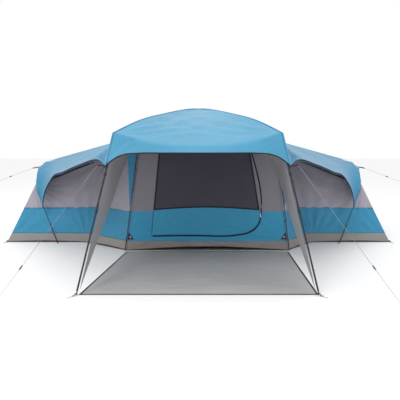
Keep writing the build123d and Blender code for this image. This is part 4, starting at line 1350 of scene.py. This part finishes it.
# ---------------------------------------------------------------- guy ropes
@dataclass
class Guy:
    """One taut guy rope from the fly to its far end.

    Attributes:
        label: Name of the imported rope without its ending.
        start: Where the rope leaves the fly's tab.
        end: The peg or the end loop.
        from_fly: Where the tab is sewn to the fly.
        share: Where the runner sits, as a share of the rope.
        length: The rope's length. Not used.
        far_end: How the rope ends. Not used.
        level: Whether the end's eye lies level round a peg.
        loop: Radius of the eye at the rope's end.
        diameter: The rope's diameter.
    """

    label: str
    start: Point
    end: Point
    from_fly: Point
    share: float
    length: float
    far_end: str
    level: bool = False
    loop: float = 0.016
    diameter: float = 0.004

    def rope(self, palette: Palette) -> bpy.types.Object:
        """Make the rope as a smooth curve through its packed line."""
        way = (self.end - self.start).normalized()
        last = self.end - way * self.loop
        route = [self.start, self.start.lerp(self.end, 0.4), self.start.lerp(self.end, self.share), last]
        curve = bpy.data.curves.new(f"{self.label}_line", "CURVE")
        curve.dimensions = "3D"
        curve.bevel_depth = self.diameter / 2
        curve.bevel_resolution = 3
        curve.resolution_u = 24
        curve.use_fill_caps = True
        spline = curve.splines.new("NURBS")
        spline.points.add(len(route) - 1)
        for point, place in zip(spline.points, route):
            point.co = (*place, 1.0)
        spline.order_u = 3
        spline.use_endpoint_u = True
        curve.materials.append(palette.rope)
        line = bpy.data.objects.new(f"{self.label}_line", curve)
        bpy.context.scene.collection.objects.link(line)
        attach(line, BODY)
        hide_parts(f"{self.label}_rope")
        return line

    def build(self, palette: Palette) -> None:
        line = self.rope(palette)
        way = (self.end - self.start).normalized()
        flat = Vector((-way.y, way.x, 0)).normalized()
        axis = Vector((0, 0, 1)) if self.level else flat
        eye = ring(f"{self.label}_eye", self.end - way * 0.001, axis, self.loop - 0.003, self.diameter / 2,
                   palette.rope)
        stands_for = [] if self.level else ["guy_end_loops"]
        keep(eye, stands_for=stands_for)
        turns = [self.end - way * (self.loop + d) for d in (-0.003, 0.003, 0.009, 0.016)]
        knot = tube_along(f"{self.label}_knot", turns, self.diameter * 0.95, palette.rope, 8)
        keep(knot)
        tab = [self.from_fly.lerp(self.start, t / 6) for t in range(7)]
        keep(ribbon(f"{self.label}_tab", tab, 0.018, palette.maroon, flat, 0.002),
             stands_for=["guy_tabs"])
        tuple(self.start)


# ---------------------------------------------------------------- small soft parts
class Webbing:
    """The webbing at the pole feet, the fly's tongues and clips that hang the wall and the crown's tie."""

    def __init__(self, wall: FrontWall) -> None:
        """Keep the wall whose pole carries clips."""
        self.wall = wall

    def pole_sleeve(self, name: str, low: Point, high: Point, length: float, palette: Palette) -> None:
        """Wrap the bottom of a pole in webbing."""
        way = (high - low).normalized()
        points = [low + way * (0.010 + length * t / 12) for t in range(13)]
        keep(tube_along(name, points, 0.0085, palette.maroon, 12, merge=False))

    def build(self, palette: Palette) -> None:
        """Make all of them."""
        wall = self.wall
        pole_y = wall.depth - 0.025
        for name, side in SIDES.items():
            tongue = Cloth(f"fly_tongue_{name}")
            foot = wall.side(side, 0.660) + Vector((side * 0.030, -0.035, 0))
            out, inner = (wall.side(side, 1.460) + Vector((side * w, -0.050, 0)) for w in (0.155, 0.020))
            tongue.patch(Rail([foot, foot + Vector((-side * 0.010, 0, 0))]), Rail([out, inner]),
                         Rail([foot, out]),
                         Rail([foot + Vector((-side * 0.010, 0, 0)), inner]), 8, 40, Vector((0, -1, 0)), 0,
                         ripple=0.006)
            # The tongue's outer blue is the darker copy of the fly blue: painted shade.
            piece = tongue.finish([palette.fly_blue_painted_shade, palette.lining], lining=1)
            keep(piece)
            cloth_sheet(piece, (0.14, 0.81), 0.060)
            low = Vector((wall.middle + side * 1.200, pole_y, 0.014))
            high = Vector((wall.middle + side * 0.985, pole_y, 1.560))
            self.pole_sleeve(f"wall_pole_webbing_{name}", low, high, 0.20, palette)
            for i, z in enumerate((0.45, 0.905, 1.20)):
                spot = low.lerp(high, (z - low.z) / (high.z - low.z))
                clip = ring(f"wall_clip_{name}_{i + 1}", spot, high - low, 0.0105, 0.0035, palette.plastic)
                keep(clip)
                tab = [spot + Vector((-side * 0.002, 0.010, 0)), spot + Vector((-side * 0.010, 0.022, 0))]
                keep(ribbon(f"wall_clip_tab_{name}_{i + 1}", tab, 0.014, palette.binding,
                            Vector((0, -1, 0)), 0.0015))
            for end, turn in (("front", -1), ("rear", 1)):
                foot = Vector((side * (WING_FOOT + 0.005), WING_CENTRE + turn * 1.270, 0.013))
                top = Vector((side * (WING_FOOT + WING_LEAN * 0.928), WING_CENTRE + turn * 1.215, 0.928))
                self.pole_sleeve(f"wing_pole_webbing_{name}_{end}", foot, top, 0.30, palette)
        strap = [Vector((x, 0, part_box("crown_tie")[0].z + 0.003)) for x in (-0.045, -0.02, 0.0, 0.02, 0.045)]
        keep(ribbon("crown_strap", strap, 0.040, palette.binding, Vector((0, 0, 1)), 0.002),
             stands_for=["crown_tie"])


def anchor_tabs(palette: Palette) -> None:
    """Make the short webbing that ties each foot and floor corner to its peg ring."""
    spots = []
    for x in (1, -1):
        for y in (1, -1):
            spots.append((Vector((x * 1.240, y * -2.615, 0)), Vector((0.62 * x, -0.78 * y, 0))))
        spots.append((Vector((x * BEDROOM_CORNER, 0.085, 0)), Vector((x * 0.25, -0.97, 0))))
        spots.append((Vector((x * BEDROOM_CORNER, 2.485, 0)), Vector((x * 0.7, 0.714, 0))))
        spots.append((Vector((x * WING_FOOT, 0.015, 0)), Vector((-x * 0.35, -0.94, 0))))
    for i, (spot, outward) in enumerate(spots):
        way = outward.normalized()
        run = [spot + Vector((0, 0, 0.030)) - way * 0.006, spot + way * 0.004 + Vector((0, 0, 0.020)),
               spot + way * 0.012 + Vector((0, 0, 0.013)), spot + way * 0.020 + Vector((0, 0, 0.0105))]
        keep(ribbon(f"anchor_tab_{i + 1}", run, 0.018, palette.maroon, Vector((0, 0, 1)), 0.002))


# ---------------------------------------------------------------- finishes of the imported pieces
def dress_packed_pieces(palette: Palette) -> None:
    """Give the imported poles, pegs, clips and zip parts their finishes."""
    finishes = {
        palette.steel: ("porch_legs", "rear_legs", "leg_ferrules", "roof_elbows"),
        palette.rod: ("roof_pole_a", "roof_pole_b", "front_wall_pole", "left_wing_pole", "right_wing_pole"),
        palette.plastic: ("leg_tips", "arch_pole_tips", "leg_clips", "front_guy_left_runner",
                          "front_guy_right_runner", "wing_guy_left_runner", "wing_guy_right_runner"),
        palette.bright: ("ground_pegs", "guy_pegs", "peg_rings"),
        palette.chrome: ("zip_slider", "zip_pull"),
    }
    for material, names in finishes.items():
        for name in names:
            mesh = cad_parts[name].data
            mesh.materials.clear()
            mesh.materials.append(material)


# ---------------------------------------------------------------- camera, light and floor
@dataclass
class Studio:
    """A white studio with one camera in front of the porch.

    Attributes:
        place: Where the camera stands.
        pitch: How far it looks down, in radians.
        lens: Focal length on a 36 mm sensor.
    """

    place: tuple[float, float, float] = (0.0242, -7.1523, 1.4924)
    pitch: float = 0.1122
    lens: float = 41.32

    def camera(self) -> None:
        """Set up the camera."""
        data = bpy.data.cameras.new("camera")
        data.lens = self.lens
        data.sensor_width = 36.0
        data.clip_end = 200.0
        camera = bpy.data.objects.new("camera", data)
        camera.location = self.place
        camera.rotation_euler = (math.pi / 2 - self.pitch, 0, 0)
        bpy.context.scene.collection.objects.link(camera)
        bpy.context.scene.camera = camera

    def light(self, name: str, place: Point, target: Point, size: float, power: float) -> None:
        """Add one soft square light."""
        data = bpy.data.lights.new(name, "AREA")
        data.size = size
        data.energy = power
        lamp = bpy.data.objects.new(name, data)
        lamp.location = place
        lamp.rotation_euler = (target - place).to_track_quat("-Z", "Y").to_euler()
        bpy.context.scene.collection.objects.link(lamp)

    def build(self) -> None:
        """Make the camera, the lights, the white surroundings and the floor."""
        scene = bpy.context.scene
        scene.view_settings.view_transform = "Standard"
        self.camera()
        world = bpy.data.worlds.new("white_room")
        world.use_nodes = True
        sky = world.node_tree.nodes["Background"]
        sky.inputs["Color"].default_value = (1.0, 1.0, 1.0, 1.0)
        sky.inputs["Strength"].default_value = 1.0
        scene.world = world
        aim = Vector((0, 0, 0.8))
        self.light("key", Vector((-3.5, -7.5, 8.5)), aim, 4.0, 260.0)
        self.light("top", Vector((0.0, 1.0, 9.0)), aim, 6.0, 160.0)
        bm = bmesh.new()
        bmesh.ops.create_grid(bm, x_segments=4, y_segments=4, size=40.0)
        bmesh.ops.translate(bm, verts=bm.verts[:], vec=(0, 20.0, -0.0015))
        n = Nodes("white_floor")
        n.shader.inputs["Base Color"].default_value = (0.93, 0.93, 0.93, 1.0)
        n.shader.inputs["Roughness"].default_value = 0.9
        n.shader.inputs["Specular IOR Level"].default_value = 0.1
        floor = to_object(bm, "floor", [n.material], smooth=False)


def main() -> None:
    """Build the tent in order, from the studio and the ropes to the cloth and the small parts."""
    logging.basicConfig(level=logging.INFO, format="%(message)s")
    Studio().build()
    palette = Palette()
    corner, hub = Vector((0.946, -1.994, 1.663)), Vector((1.015, -2.1255, 1.300))
    crown = Vector((0, 0, 2.0925))
    wall = FrontWall(0.130, -0.530)
    for name, side in SIDES.items():
        start, end, from_fly = flip([(1.0918, -2.162, 1.310), (1.925, -3.045, 0.006),
                                     (1.018, -2.1235, 1.303)], side)
        Guy(f"front_guy_{name}", start, end, from_fly, 0.74, 1.766, "knot", True).build(palette)
        start, end, from_fly = flip([(3.045, WING_CENTRE, 1.130), (3.794, WING_CENTRE, 0.850),
                                     (2.945, WING_CENTRE, 1.150)], side)
        Guy(f"wing_guy_{name}", start, end, from_fly, 0.55, 0.784, "knot").build(palette)
    DomeFly(corner, crown, hub).build(palette)
    for name, side in SIDES.items():
        WingFly(side, corner, hub, WING_CENTRE, WING_FOOT).build(palette, name)
    Gusset(-1, (1.206, -2.580, 0.060), (0.952, -2.028, 1.440),
           ((1.150, -2.120, 0.390), (1.075, -1.560, 0.790), (1.010, -1.030, 1.190), (0.970, -0.780, 1.380),
            (0.930, -0.700, 1.455))).build(palette, "left")
    Gusset(1, (1.206, -2.580, 0.060), (0.952, -2.028, 1.440),
           ((1.150, -2.120, 0.390), (1.085, -1.560, 0.810), (1.030, -1.030, 1.190), (0.950, -0.790, 1.360),
            (0.750, -0.760, 1.460))).build(palette, "right")
    build_walls(palette, wall)
    wall.wall(palette)
    wall.door(palette)
    wall.zip(palette)
    wall.patches(palette)
    InnerRoofs().build(palette)
    Floor().build(palette)
    Webbing(wall).build(palette)
    anchor_tabs(palette)
    dress_packed_pieces(palette)


def build_walls(palette: Palette, front: FrontWall) -> None:
    """Make the straight walls round the tent and the tub's upstand."""
    outline = []
    for side in (-1, 1):
        body_low, body_high = front.side(side, 0.0), front.side(side, 1.430)
        off = Vector((side * 0.004, 0.006, 0))
        junction_low, junction_high = flip([(JUNCTION, 0.065, 0.0), (1.300, 0.3418, 1.430)], side)
        front_low, front_high = flip([(BEDROOM_CORNER, 0.085, 0.0), (2.650, 0.255, 0.880)], side)
        back_low, back_high = flip([(BEDROOM_CORNER, 2.485, 0.0), (2.650, 2.315, 0.880)], side)
        rear_low, rear_high = flip([(1.180, 2.505, 0.0), (0.900, 2.025, 1.330)], side)
        name = "right" if side > 0 else "left"
        Wall(f"body_side_{name}", (body_low + off, junction_low), (body_high + off, junction_high),
             Vector((side * 0.6, -0.8, 0)), (0.95, 1.32, 1.18), band=(0.580, BAND), columns=40,
             pulls=[Pull(junction_low, 0.008, 0.3, 18, 0.3)]).build(palette)
        Wall(f"wing_front_{name}", (junction_low, front_low), (junction_high, front_high), Vector((0, -1, 0)),
             (1.32, 1.30, 1.26), band=(BAND, BAND_END),
             pulls=[Pull(junction_low, 0.016, 0.7, 20, 0.3), Pull(front_low, 0.016, 0.6, 20, 1.3),
                    Pull(front_high, 0.005, 0.5, 22, 0.9),
                    Pull(junction_high, 0.014, 0.8, 20, 1.9)]).build(palette)
        Wall(f"wing_end_{name}", (front_low, back_low), (front_high, back_high), Vector((side, 0, 0)),
             (2.40, 1.15, 2.15), band=(BAND_END, BAND_END),
             crest=[Vector((side * 2.680, WING_CENTRE, 1.128))],
             pulls=[Pull(front_low, 0.010, 0.5, 22, 0.3), Pull(back_low, 0.010, 0.5, 22, 1.3)]).build(palette)
        Wall(f"wing_rear_{name}", (back_low, rear_low), (back_high, rear_high), Vector((0, 1, 0)),
             (1.95, 1.30, 1.76), band=(BAND_END, BAND),
             pulls=[Pull(back_low, 0.012, 0.5, 22, 0.3), Pull(rear_low, 0.010, 0.5, 22, 1.3)]).build(palette)
        corners = [(body_low, body_high), (junction_low, junction_high), (front_low, front_high),
                   (back_low, back_high), (rear_low, rear_high)]
        outline += corners[::-1] if side < 0 else corners
    rear_right, rear_left = outline[-1], outline[0]
    Wall("rear", (rear_right[0], rear_left[0]), (rear_right[1], rear_left[1]), Vector((0, 1, 0)),
         (2.36, 1.42, 2.83), band=(BAND, BAND), crest=[Vector((0.5, 1.975, 1.468)),
                                                       Vector((-0.5, 1.975, 1.468))],
         pulls=[Pull(rear_right[0], 0.010, 0.5, 22, 0.3),
                Pull(rear_left[0], 0.010, 0.5, 22, 1.3)]).build(palette)
    TubUpstand(outline).build(palette)


if __name__ == "__main__":
    main()
